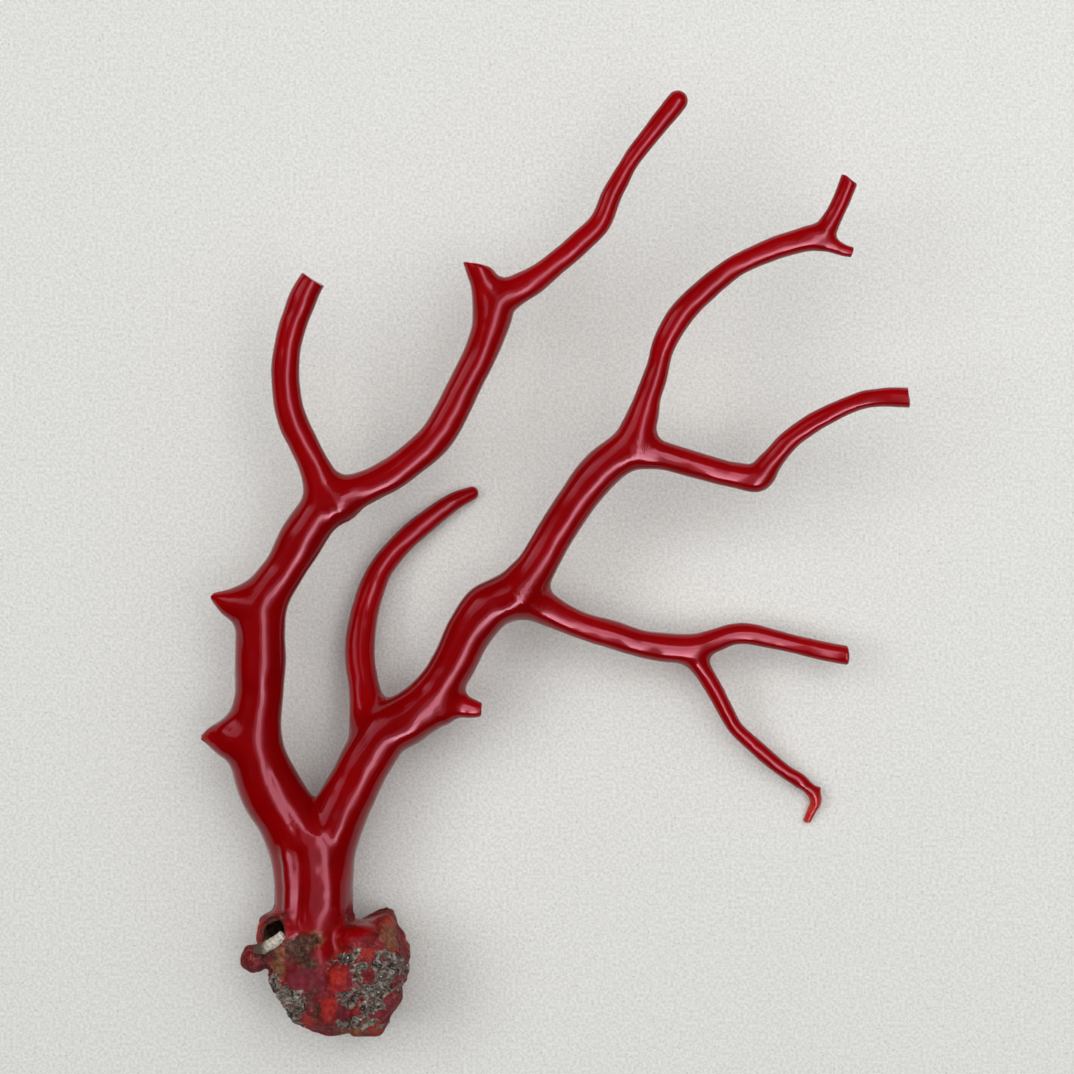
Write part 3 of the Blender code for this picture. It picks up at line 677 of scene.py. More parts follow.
@dataclass(frozen=True)
class ZoneMap:
    """Where one kind of surface lies: patches, islands left out, and how ragged its border is."""

    zone: Zone
    patches: tuple[Patch, ...]
    islands: tuple[Patch, ...] = ()
    ragged: float = 0.5
    below: float = -1.0
    seed: int = 1

    def depth(self, points: np.ndarray, plan: np.ndarray) -> np.ndarray:
        """How deep inside the zone each point lies.

        Args:
            points: Places in millimetres.
            plan: The same places as read from above.

        Returns:
            Depth in millimetres, negative outside.
        """
        inside = np.max([patch.depth(plan) for patch in self.patches], axis=0)
        for island in self.islands:
            inside = np.minimum(inside, -island.depth(plan))
        depth, size, shift = SIDE_PATCHES
        under = depth * soft_noise(points, size, self.seed + shift) + self.below
        low = smooth_step(SIDES_FROM, SIDES_FULL, points[:, 2])
        inside = inside * (1 - low) + under * low
        for share, size, shift in BORDER_NOISE:
            inside = inside + share * self.ragged * soft_noise(points, size, self.seed + shift)
        return np.where(points[:, 1] < HOLDFAST_END, inside, NOT_HERE)


ZONE_MAPS = (
    ZoneMap(
        Zone.CRUST,
        (Patch(3.1, 2.4, 1.6, 0.9, 15), Patch(9.3, 1.3, 3.2, 1.9, -5), Patch(5.4, 1.1, 1.9, 0.8),
         Patch(4.0, -0.7, 0.8, 1.5), Patch(8.8, -0.9, 1.3, 1.2), Patch(5.6, -3.3, 4.6, 1.2, 8),
         Patch(6.6, -5.0, 2.4, 1.1, 5), Patch(3.1, -4.7, 1.4, 1.2), Patch(4.6, -8.0, 2.9, 0.9, 4),
         Patch(-7.5, -3.1, 2.2, 1.2, -40), Patch(-5.5, -5.0, 1.7, 1.8),
         Patch(-6.2, -7.3, 1.7, 1.3, -20), Patch(-8.8, -2.0, 0.8, 1.6, 15)),
        (Patch(5.9, -0.8, 1.3, 0.8, 10),),
        0.75, -1.6, 11,
    ),
    ZoneMap(
        Zone.SOOT,
        # Soot, except the last patch, which is painted shade beside the worm tube's end
        (Patch(-5.2, 3.8, 1.9, 2.0), Patch(-3.6, 1.6, 1.3, 1.3), Patch(-2.8, 5.3, 0.9, 1.0),
         Patch(-2.9, -5.6, 0.6, 2.0, 5), Patch(-10.0, 2.7, 1.2, 0.9)),
        (), 0.8, -1.6, 23,
    ),
    ZoneMap(
        Zone.OCHRE,
        (Patch(-8.0, 1.2, 1.2, 2.3, 10), Patch(-7.4, 3.8, 0.8, 1.2), Patch(9.5, 5.8, 1.0, 1.9, 10),
         Patch(-2.4, 5.3, 0.9, 0.9), Patch(5.2, -9.4, 2.6, 0.5)),
        (), 0.6, -1.0, 37,
    ),
    ZoneMap(
        # Orange-red nodules, their brightest tone a painted highlight
        Zone.EMBER,
        (Patch(-0.6, -5.6, 1.3, 1.9), Patch(9.2, 8.2, 1.0, 1.3), Patch(1.1, -0.8, 1.7, 2.0),
         Patch(-3.7, -8.2, 1.0, 0.8), Patch(-11.8, 7.3, 0.8, 2.4),
         Patch(7.6, -9.3, 1.2, 0.9), Patch(6.2, 3.2, 3.0, 0.4, 5), Patch(0.6, 2.6, 0.4, 2.2, -20)),
        (), 0.5, -0.6, 41,
    ),
    ZoneMap(
        Zone.PLUM,
        (Patch(-5.2, -1.0, 2.0, 1.9), Patch(-2.2, -1.5, 0.9, 2.6), Patch(8.2, -5.9, 2.3, 0.7, 35),
         Patch(12.1, 4.4, 0.6, 1.6), Patch(1.5, -6.0, 0.8, 1.8)),
        (), 0.3, -2.0, 53,
    ),
)
ROUGH_BORDER = ((0.9, 2.2, 61),)
POLISHED_PATCHES = (
    Patch(-2.7, 12.5, 7.6, 3.4), Patch(-2.2, 7.9, 4.8, 3.6), Patch(-1.4, 5.0, 1.8, 3.2, -4),
    Patch(4.3, 6.6, 3.4, 1.9, 25), Patch(-9.0, 10.0, 2.2, 0.9, 20),
)


def read_plan(points: np.ndarray) -> np.ndarray:
    """Where points seem to lie from above, on the level at which the patches were read.

    Args:
        points: Places in millimetres.

    Returns:
        Their places in plan, in millimetres.
    """
    scale = (CAMERA.height - READ_HEIGHT) / (CAMERA.height - points[:, 2:3])
    middle = np.array([CAMERA.x, CAMERA.y])
    return middle + (points[:, :2] - middle) * scale


# Mesh helpers


def scene_object(name: str, data: bpy.types.ID) -> bpy.types.Object:
    """Put a mesh, curve, camera or light in the scene as an object.

    Args:
        name: The object's name.
        data: What it holds.

    Returns:
        The object.
    """
    obj = bpy.data.objects.new(name, data)
    bpy.context.scene.collection.objects.link(obj)
    return obj


def evaluated_mesh(obj: bpy.types.Object) -> bpy.types.Mesh:
    """The object's mesh with its modifiers applied.

    Args:
        obj: The object.

    Returns:
        A new mesh.
    """
    bpy.context.view_layer.update()
    depsgraph = bpy.context.evaluated_depsgraph_get()
    return bpy.data.meshes.new_from_object(obj.evaluated_get(depsgraph))


def get_points(mesh: bpy.types.Mesh) -> np.ndarray:
    """The mesh's vertices in millimetres.

    Args:
        mesh: The mesh.

    Returns:
        The vertices as rows of x, y and z.
    """
    values = np.empty(len(mesh.vertices) * 3)
    mesh.vertices.foreach_get("co", values)
    return values.reshape(-1, 3) / MM


def set_points(mesh: bpy.types.Mesh, points: np.ndarray) -> None:
    """Move the mesh's vertices to places in millimetres."""
    mesh.vertices.foreach_set("co", (points * MM).ravel())
    mesh.update()


def set_attribute(mesh: bpy.types.Mesh, name: str, values: np.ndarray) -> None:
    """Store one number for each vertex, which a material can read."""
    attribute = mesh.attributes.new(name, "FLOAT", "POINT")
    attribute.data.foreach_set("value", values.astype(np.float32))


def relaxed(points: np.ndarray, edges: np.ndarray, share: float) -> np.ndarray:
    """Move each vertex towards the middle of its neighbours.

    Args:
        points: The vertices.
        edges: Pairs of joined vertices.
        share: How much of the way each one moves.

    Returns:
        The moved vertices.
    """
    count = len(points)
    ends = np.concatenate([edges[:, 0], edges[:, 1]])
    others = np.concatenate([edges[:, 1], edges[:, 0]])
    degree = np.bincount(ends, minlength=count)[:, None]
    total = np.stack([np.bincount(ends, weights=points[others, axis], minlength=count)
                      for axis in range(3)], axis=1)
    return points + share * (total / degree - points)


def edge_pairs(mesh: bpy.types.Mesh) -> np.ndarray:
    """The mesh's edges as pairs of vertex numbers.

    Args:
        mesh: The mesh.

    Returns:
        A row of two numbers for each edge.
    """
    values = np.empty(len(mesh.edges) * 2, dtype=np.int32)
    mesh.edges.foreach_get("vertices", values)
    return values.reshape(-1, 2)


def tube_mesh(samples: np.ndarray) -> bpy.types.Mesh:
    """A closed tube along a sampled route.

    Args:
        samples: Rows of x, y, z and radius in millimetres.

    Returns:
        The tube's mesh in metres.
    """
    curve = bpy.data.curves.new("tube", "CURVE")
    curve.dimensions = "3D"
    curve.bevel_depth = MM
    curve.bevel_resolution = TUBE_ROUNDNESS
    curve.use_fill_caps = True
    spline = curve.splines.new("POLY")
    spline.points.add(len(samples) - 1)
    for point, sample in zip(spline.points, samples):
        point.co = (*(sample[:3] * MM), 1.0)
        point.radius = sample[3]
    obj = scene_object("tube", curve)
    mesh = evaluated_mesh(obj)
    bpy.data.objects.remove(obj)
    bm = bmesh.new()
    bm.from_mesh(mesh)
    bmesh.ops.remove_doubles(bm, verts=bm.verts, dist=WELD)
    bmesh.ops.recalc_face_normals(bm, faces=bm.faces)
    bm.to_mesh(mesh)
    bm.free()
    return mesh


def domed(samples: np.ndarray) -> np.ndarray:
    """Close a sampled route with a dome as wide as its last radius.

    Args:
        samples: Rows of x, y, z and radius in millimetres.

    Returns:
        The samples with the dome's own after them.
    """
    way = samples[-1, :3] - samples[-2, :3]
    way = way / np.linalg.norm(way)
    tip = samples[-1]
    dome = []
    for degrees in DOME_DEGREES:
        angle = math.radians(degrees)
        centre = tip[:3] + way * tip[3] * math.sin(angle)
        dome.append((*centre, tip[3] * math.cos(angle)))
    return np.vstack([samples, dome])


# Materials


class Recipe:
    """Adds and joins the nodes of one material."""

    def __init__(self, name: str) -> None:
        """Start a material whose only shader is a Principled one.

        Args:
            name: The material's name.
        """
        self.material = bpy.data.materials.new(name)
        self.material.use_nodes = True
        self.nodes = self.material.node_tree.nodes
        self.links = self.material.node_tree.links
        self.shader = self.nodes["Principled BSDF"]
        self.place = self.nodes.new("ShaderNodeTexCoord").outputs["Object"]

    def feed(self, socket: bpy.types.NodeSocket, value: object) -> None:
        """Link a socket to another, or set it to a plain value.

        Args:
            socket: The socket to feed.
            value: Another socket, a number or a colour.
        """
        if isinstance(value, bpy.types.NodeSocket):
            self.links.new(value, socket)
        elif isinstance(value, tuple) and len(value) == 3 and socket.type == "RGBA":
            socket.default_value = (*value, 1.0)
        else:
            socket.default_value = value

    def attribute(self, name: str) -> bpy.types.NodeSocket:
        """A number painted on the mesh.

        Args:
            name: The attribute's name.

        Returns:
            Its value.
        """
        node = self.nodes.new("ShaderNodeAttribute")
        node.attribute_name = name
        return node.outputs["Fac"]

    def math(self, operation: str, first: object, second: object = 0.0) -> bpy.types.NodeSocket:
        """One step of arithmetic.

        Args:
            operation: Blender's name for it.
            first: A number or a socket.
            second: Another one.

        Returns:
            The result.
        """
        node = self.nodes.new("ShaderNodeMath")
        node.operation = operation
        self.feed(node.inputs[0], first)
        self.feed(node.inputs[1], second)
        return node.outputs[0]

    def noise(self, size: float, detail: float = 3.0, roughness: float = 0.55,
              warp: float = 0.0) -> bpy.types.NodeSocket:
        """Noise from 0 to 1.

        Args:
            size: Width of its bumps in millimetres.
            detail: How many finer layers it has.
            roughness: How strong they are.
            warp: How much the noise bends itself.

        Returns:
            The noise's value.
        """
        node = self.nodes.new("ShaderNodeTexNoise")
        self.links.new(self.place, node.inputs["Vector"])
        node.inputs["Scale"].default_value = 1.0 / (size * MM)
        node.inputs["Detail"].default_value = detail
        node.inputs["Roughness"].default_value = roughness
        node.inputs["Distortion"].default_value = warp
        return node.outputs["Fac"]

    def cells(self, size: float) -> bpy.types.NodeSocket:
        """Distance to the nearest of scattered seeds.

        Args:
            size: Spacing of the seeds in millimetres.

        Returns:
            The distance as a share of size.
        """
        node = self.nodes.new("ShaderNodeTexVoronoi")
        self.links.new(self.place, node.inputs["Vector"])
        node.inputs["Scale"].default_value = 1.0 / (size * MM)
        return node.outputs["Distance"]

    def ramp(self, factor: bpy.types.NodeSocket,
             stops: tuple[tuple[float, Colour], ...]) -> bpy.types.NodeSocket:
        """Colours along a factor.

        Args:
            factor: Where the ramp is read, from 0 to 1.
            stops: Places with their colours.

        Returns:
            The colour.
        """
        node = self.nodes.new("ShaderNodeValToRGB")
        elements = node.color_ramp.elements
        while len(elements) < len(stops):
            elements.new(0.5)
        for element, (place, colour) in zip(elements, stops):
            element.position = place
            element.color = (*colour, 1.0)
        self.links.new(factor, node.inputs["Fac"])
        return node.outputs["Color"]

    def step(self, value: object, low: float, high: float, start: float = 0.0,
             end: float = 1.0) -> bpy.types.NodeSocket:
        """An eased climb from start at low to end at high.

        Args:
            value: What climbs.
            low: Where the climb starts.
            high: Where it ends.
            start: The result before it.
            end: The result after it.

        Returns:
            The result.
        """
        node = self.nodes.new("ShaderNodeMapRange")
        node.interpolation_type = "SMOOTHSTEP"
        self.feed(node.inputs["Value"], value)
        node.inputs["From Min"].default_value = low
        node.inputs["From Max"].default_value = high
        node.inputs["To Min"].default_value = start
        node.inputs["To Max"].default_value = end
        return node.outputs["Result"]

    def mix(self, factor: object, first: object, second: object,
            blend: str = "MIX") -> bpy.types.NodeSocket:
        """Mix two colours.

        Args:
            factor: Share of the second, from 0 to 1.
            first: A colour or a socket.
            second: Another one.
            blend: Blender's name for the way to mix.

        Returns:
            The colour.
        """
        node = self.nodes.new("ShaderNodeMix")
        node.data_type = "RGBA"
        node.blend_type = blend
        self.feed(node.inputs[0], factor)
        self.feed(node.inputs[6], first)
        self.feed(node.inputs[7], second)
        return node.outputs[2]

    def blend(self, factor: bpy.types.NodeSocket, first: object,
              second: object) -> bpy.types.NodeSocket:
        """Mix two numbers.

        Args:
            factor: Share of the second, from 0 to 1.
            first: A number or a socket.
            second: Another one.

        Returns:
            The number.
        """
        node = self.nodes.new("ShaderNodeMix")
        self.feed(node.inputs[0], factor)
        self.feed(node.inputs[2], first)
        self.feed(node.inputs[3], second)
        return node.outputs[0]

    def shade(self, colour: object, share: bpy.types.NodeSocket) -> bpy.types.NodeSocket:
        """A colour made lighter or darker by a share."""
        return self.mix(1.0, colour, self.mix(0.0, share, share), "MULTIPLY")

    def veins(self, size: float, detail: float, narrow: float, wide: float,
              strength: float) -> bpy.types.NodeSocket:
        """Thin winding lines where noise passes its middle.

        Args:
            size: How far apart the lines are, in millimetres.
            detail: How many finer layers bend them.
            narrow: Distance from the middle at which a line starts to fade.
            wide: Distance from the middle at which it is gone.
            strength: How strong a line is.

        Returns:
            The lines' strength, 0 between them.
        """
        middle = self.math("SUBTRACT", self.noise(size, detail, 0.6), 0.5)
        return self.step(self.math("ABSOLUTE", middle), narrow, wide, strength, 0.0)

    def bump(self, height: bpy.types.NodeSocket, depth: float, strength: object = 1.0,
             below: bpy.types.NodeSocket | None = None) -> bpy.types.NodeSocket:
        """A bumped normal.

        Args:
            height: The bump's height, from 0 to 1.
            depth: The millimetres that 1 stands for.
            strength: How much of the bump shows.
            below: A normal to lay it over, if any.

        Returns:
            The normal.
        """
        node = self.nodes.new("ShaderNodeBump")
        node.inputs["Distance"].default_value = depth * MM
        self.feed(node.inputs["Strength"], strength)
        self.links.new(height, node.inputs["Height"])
        if below is not None:
            self.links.new(below, node.inputs["Normal"])
        return node.outputs["Normal"]


@dataclass(frozen=True)
class ZonePaint:
    """One zone's colours: a mottle's size in millimetres and its stops, and the zone's border."""

    zone: Zone
    size: float
    stops: tuple[tuple[float, Colour], ...]
    ragged: float
    soft: float
    detail: float = 3.0
    roughness: float = 0.55


ZONE_PAINTS = (
    ZonePaint(Zone.PLUM, 1.2, ((0.3, (0.075, 0.003, 0.006)), (0.7, (0.17, 0.014, 0.022))),
              0.14, 0.12),
    # The brightest stop is a painted highlight on the glossy nodules
    ZonePaint(Zone.EMBER, 0.9, ((0.32, (0.17, 0.003, 0.003)), (0.68, (0.42, 0.024, 0.008))),
              0.16, 0.14),
    ZonePaint(Zone.OCHRE, 0.7, ((0.3, (0.11, 0.022, 0.010)), (0.7, (0.27, 0.13, 0.055))),
              0.20, 0.16),
    # The soot zone's dark colours, which also paint the shade beside the worm tube and down the
    # worm's shaft
    ZonePaint(Zone.SOOT, 0.7, ((0.32, (0.006, 0.004, 0.003)), (0.50, (0.040, 0.018, 0.010)),
                               (0.66, (0.13, 0.075, 0.035))), 0.34, 0.22, 7.0, 0.7),
)


@dataclass(frozen=True)
class CoralFinish:
    """Polished red coral that turns into rough coral and porous crust on the holdfast."""

    twig_red: Colour = (0.262, 0.0010, 0.0022)
    limb_red: Colour = (0.198, 0.0002, 0.0008)
    sheen_tint: Colour = (1.0, 0.42, 0.56)
    gloss: float = 0.11
    smeared: float = 0.05
    satin: float = 0.14
    worn: tuple[float, float] = (0.58, 0.98)
    crusted: float = 0.9
    index: float = 1.45
    scratch_depth: float = 0.003
    grain_depth: float = 0.16
    grit_depth: float = 0.35

    def make(self) -> bpy.types.Material:
        """Build the material.

        Returns:
            The material.
        """
        recipe = Recipe("polished_coral")
        zones = {zone: recipe.attribute(zone.value) for zone in Zone}
        crust = self.share(recipe, zones[Zone.CRUST], 0.18, 0.05)
        rough = self.share(recipe, zones[Zone.ROUGH], 0.16, 0.24)
        dull = recipe.math("MULTIPLY", recipe.attribute("satin"), self.satin)
        shader = recipe.shader.inputs
        recipe.feed(shader["Base Color"], self.colour(recipe, zones, crust))
        recipe.feed(shader["Roughness"], self.roughness(recipe, rough, crust, dull))
        recipe.feed(shader["Normal"], self.normal(recipe, rough, crust, dull))
        shader["IOR"].default_value = self.index
        shader["Specular Tint"].default_value = (*self.sheen_tint, 1.0)
        return recipe.material

    def colour(self, recipe: Recipe, zones: dict[Zone, bpy.types.NodeSocket],
               crust: bpy.types.NodeSocket) -> bpy.types.NodeSocket:
        """Polished red with each kind of surface of the holdfast laid over it.

        Args:
            recipe: The material's nodes.
            zones: Each zone's painted field.
            crust: How much of the crust shows.

        Returns:
            The colour.
        """
        rough = self.share(recipe, zones[Zone.ROUGH], 0.16, 0.20)
        colour = recipe.mix(rough, self.polished_colour(recipe), self.rough_colour(recipe))
        for paint in ZONE_PAINTS:
            mottle = recipe.noise(paint.size, paint.detail, paint.roughness)
            share = self.share(recipe, zones[paint.zone], paint.ragged, paint.soft)
            colour = recipe.mix(share, colour, recipe.ramp(mottle, paint.stops))
        return recipe.mix(crust, colour, self.crust_colour(recipe))

    def roughness(self, recipe: Recipe, rough: bpy.types.NodeSocket,
                  crust: bpy.types.NodeSocket, dull: bpy.types.NodeSocket) -> bpy.types.NodeSocket:
        """Glossy with faint smears on the polish, worn on rough coral and dull on the crust.

        Args:
            recipe: The material's nodes.
            rough: How much rough coral shows.
            crust: How much of the crust shows.
            dull: How much duller the polish gets towards the holdfast.

        Returns:
            The roughness.
        """
        smear = recipe.step(recipe.noise(2.5, 4.0), 0.35, 0.70, self.gloss,
                            self.gloss + self.smeared)
        smear = recipe.math("ADD", smear, dull)
        worn = recipe.step(recipe.noise(0.6, 4.0), 0.3, 0.7, *self.worn)
        return recipe.blend(crust, recipe.blend(rough, smear, worn), self.crusted)

    def normal(self, recipe: Recipe, rough: bpy.types.NodeSocket,
               crust: bpy.types.NodeSocket, dull: bpy.types.NodeSocket) -> bpy.types.NodeSocket:
        """Hair-fine scratches, the rough coral's grain and the crust's grit, one over the other.

        Args:
            recipe: The material's nodes.
            rough: How much rough coral shows.
            crust: How much of the crust shows.
            dull: How much duller the polish gets towards the holdfast.

        Returns:
            The bumped normal.
        """
        grained = recipe.math("MAXIMUM", rough, dull)
        normal = recipe.bump(recipe.noise(0.25, 2.0, 0.5), self.scratch_depth)
        normal = recipe.bump(recipe.noise(0.9, 4.0), self.grain_depth, grained, normal)
        return recipe.bump(recipe.noise(0.35, 5.0, 0.6), self.grit_depth, crust, normal)

    def share(self, recipe: Recipe, painted: bpy.types.NodeSocket, ragged: float,
              soft: float) -> bpy.types.NodeSocket:
        """How much of a zone shows, with a ragged border.

        Args:
            recipe: The material's nodes.
            painted: The zone's painted field, 0.5 on its border.
            ragged: How far the border wanders.
            soft: How softly it fades.

        Returns:
            A share from 0 to 1.
        """
        wander = recipe.math("SUBTRACT", recipe.noise(0.55, 4.0), 0.5)
        wander = recipe.math("MULTIPLY", wander, ragged * 2)
        return recipe.step(recipe.math("ADD", painted, wander), 0.5 - soft, 0.5 + soft)

    def polished_colour(self, recipe: Recipe) -> bpy.types.NodeSocket:
        """Deep red on thick limbs, brighter red on twigs and an orange tip, faintly clouded.

        Args:
            recipe: The material's nodes.

        Returns:
            The colour.
        """
        girth = recipe.step(recipe.attribute("girth"), 1.2, 4.5)
        base = recipe.mix(girth, self.twig_red, self.limb_red)
        cloud = recipe.step(recipe.noise(7.0, 3.0), 0.3, 0.7, 0.90, 1.08)
        base = recipe.shade(base, cloud)
        tip = recipe.ramp(recipe.noise(0.8), (
            (0.3, (0.40, 0.010, 0.010)), (0.7, (0.60, 0.06, 0.03))))
        return recipe.mix(recipe.attribute("tip"), base, tip)

    def rough_colour(self, recipe: Recipe) -> bpy.types.NodeSocket:
        """Unpolished coral: mottled red, brick and brown.

        Args:
            recipe: The material's nodes.

        Returns:
            The colour.
        """
        mottle = recipe.noise(1.5, 7.0, 0.68, 0.9)
        base = recipe.ramp(mottle, (
            (0.28, (0.016, 0.003, 0.003)), (0.42, (0.085, 0.003, 0.003)),
            (0.56, (0.15, 0.006, 0.006)), (0.67, (0.22, 0.022, 0.012)),
            (0.80, (0.30, 0.09, 0.06))))
        vein = recipe.veins(1.1, 5.0, 0.0, 0.022, 0.55)
        where = recipe.step(recipe.noise(2.8, 2.0), 0.45, 0.60)
        return recipe.mix(recipe.math("MULTIPLY", vein, where), base, (0.46, 0.22, 0.18))

    def crust_colour(self, recipe: Recipe) -> bpy.types.NodeSocket:
        """Grey porous crust with white grains, dark spots of painted shade for its pores, and a
        little red.

        Args:
            recipe: The material's nodes.

        Returns:
            The colour.
        """
        mottle = recipe.noise(1.35, 8.0, 0.70, 1.1)
        # The darkest stops paint the shade in the crust's pores and pits
        grey = recipe.ramp(mottle, (
            (0.36, (0.006, 0.005, 0.004)), (0.45, (0.030, 0.024, 0.019)),
            (0.53, (0.13, 0.12, 0.095)), (0.60, (0.27, 0.255, 0.215)), (0.70, (0.60, 0.58, 0.52))))
        fleck = recipe.step(recipe.cells(1.0), 0.10, 0.24, 1.0, 0.0)
        where = recipe.step(recipe.noise(2.2, 3.0), 0.43, 0.53)
        grey = recipe.mix(recipe.math("MULTIPLY", fleck, where), grey, (0.72, 0.70, 0.64))
        vein = recipe.veins(1.8, 4.0, 0.002, 0.018, 0.42)
        grey = recipe.mix(vein, grey, (0.52, 0.50, 0.43))
        stain = recipe.step(recipe.noise(1.9, 5.0), 0.54, 0.63)
        grey = recipe.mix(recipe.math("MULTIPLY", stain, 0.55), grey, (0.13, 0.017, 0.014))
        rim = recipe.math("ABSOLUTE", recipe.math("SUBTRACT", recipe.attribute("crust"), 0.53))
        rim = recipe.step(rim, 0.01, 0.05, 0.5, 0.0)
        rim = recipe.math("MULTIPLY", rim, recipe.step(recipe.noise(1.2, 4.0), 0.46, 0.60))
        return recipe.mix(rim, grey, (0.36, 0.33, 0.28))


@dataclass(frozen=True)
class ChalkFinish:
    """The worm tube's matt chalk with brown dirt in its hollows, and painted shade at its left
    end.
    """

    pale: Colour = (0.62, 0.58, 0.50)
    bright: Colour = (0.80, 0.77, 0.70)
    dirt: Colour = (0.10, 0.06, 0.035)
    # Sets where the painted shade at the tube's left end lies, in millimetres along x
    shaded_end: float = -10.9

    def make(self) -> bpy.types.Material:
        """Build the material.

        Returns:
            The material.
        """
        recipe = Recipe("worm_chalk")
        mottle = recipe.noise(0.5, 6.0, 0.7)
        colour = recipe.ramp(mottle, (
            (0.30, self.dirt), (0.42, (0.40, 0.34, 0.26)), (0.54, self.pale), (0.8, self.bright)))
        split = recipe.nodes.new("ShaderNodeSeparateXYZ")
        recipe.links.new(recipe.place, split.inputs[0])
        along = recipe.math("ADD", split.outputs["X"], recipe.math("MULTIPLY", mottle, 1.6 * MM))
        # Painted shade, darker towards the tube's left end where it runs down into the holdfast
        shaded = recipe.step(along, (self.shaded_end + 2.2) * MM, (self.shaded_end + 0.8) * MM)
        colour = recipe.mix(shaded, colour, (0.085, 0.055, 0.035))
        recipe.feed(recipe.shader.inputs["Base Color"], colour)
        recipe.shader.inputs["Roughness"].default_value = 0.9
        recipe.feed(recipe.shader.inputs["Normal"], recipe.bump(recipe.noise(0.3, 5.0), 0.25))
        return recipe.material


@dataclass(frozen=True)
class PaperFinish:
    """The pale floor: plain off-white card with a fine tooth."""

    pale: Colour = (0.775, 0.765, 0.745)

    def make(self) -> bpy.types.Material:
        """Build the material.

        Returns:
            The material.
        """
        recipe = Recipe("pale_floor")
        tooth = recipe.noise(0.5, 4.0, 0.7)
        shade = recipe.step(tooth, 0.36, 0.64, 0.885, 1.07)
        speck = recipe.step(recipe.cells(1.3), 0.08, 0.13, 0.80, 1.0)
        shade = recipe.math("MULTIPLY", shade, speck)
        recipe.feed(recipe.shader.inputs["Base Color"], recipe.shade(self.pale, shade))
        recipe.shader.inputs["Roughness"].default_value = 0.95
        recipe.shader.inputs["Specular IOR Level"].default_value = 0.1
        recipe.feed(recipe.shader.inputs["Normal"], recipe.bump(tooth, 0.24))
        return recipe.material


# The pieces


@dataclass(frozen=True)
class Relief:
    """How far the real surface stands off the plain form: layers of noise for each surface."""

    waves: Layers = ((0.20, 6.5, 3), (0.065, 2.8, 5), (0.014, 1.3, 6))
    lumps: Layers = ((0.42, 3.1, 71), (0.24, 1.4, 73), (0.12, 0.7, 79))
    grit: Layers = ((0.30, 1.3, 101), (0.20, 0.65, 103), (0.11, 0.36, 107))
    pores: Layers = ((1.0, 0.95, 109),)
    crust_rise: float = 0.22
    pore_depth: float = 0.55
    soot_and_shade_depth: float = 0.30
    lumps_in_crust: float = 0.5

    def height(self, points: np.ndarray, depths: dict[Zone, np.ndarray]) -> np.ndarray:
        """How far each point is lifted.

        Args:
            points: Places in millimetres.
            depths: How deep in each zone they lie.

        Returns:
            Heights in millimetres.
        """
        wave = layered_noise(points, self.waves)
        for stroke in STROKES:
            wave = wave + stroke.rise(points)
        lumps = layered_noise(points, self.lumps)
        pores = smooth_step(0.28, 0.55, layered_noise(points, self.pores))
        grit = self.crust_rise + layered_noise(points, self.grit) - self.pore_depth * pores
        rough = smooth_step(-0.2, 0.8, depths[Zone.ROUGH])
        # The soot zone, painted shade included, sinks the surface a little
        soot_and_shade = smooth_step(-0.3, 0.5, depths[Zone.SOOT])
        crust = smooth_step(-0.15, 0.25, depths[Zone.CRUST])
        height = wave * (1 - rough) + rough * lumps - self.soot_and_shade_depth * soot_and_shade
        return height * (1 - crust) + crust * (grit + self.lumps_in_crust * lumps)


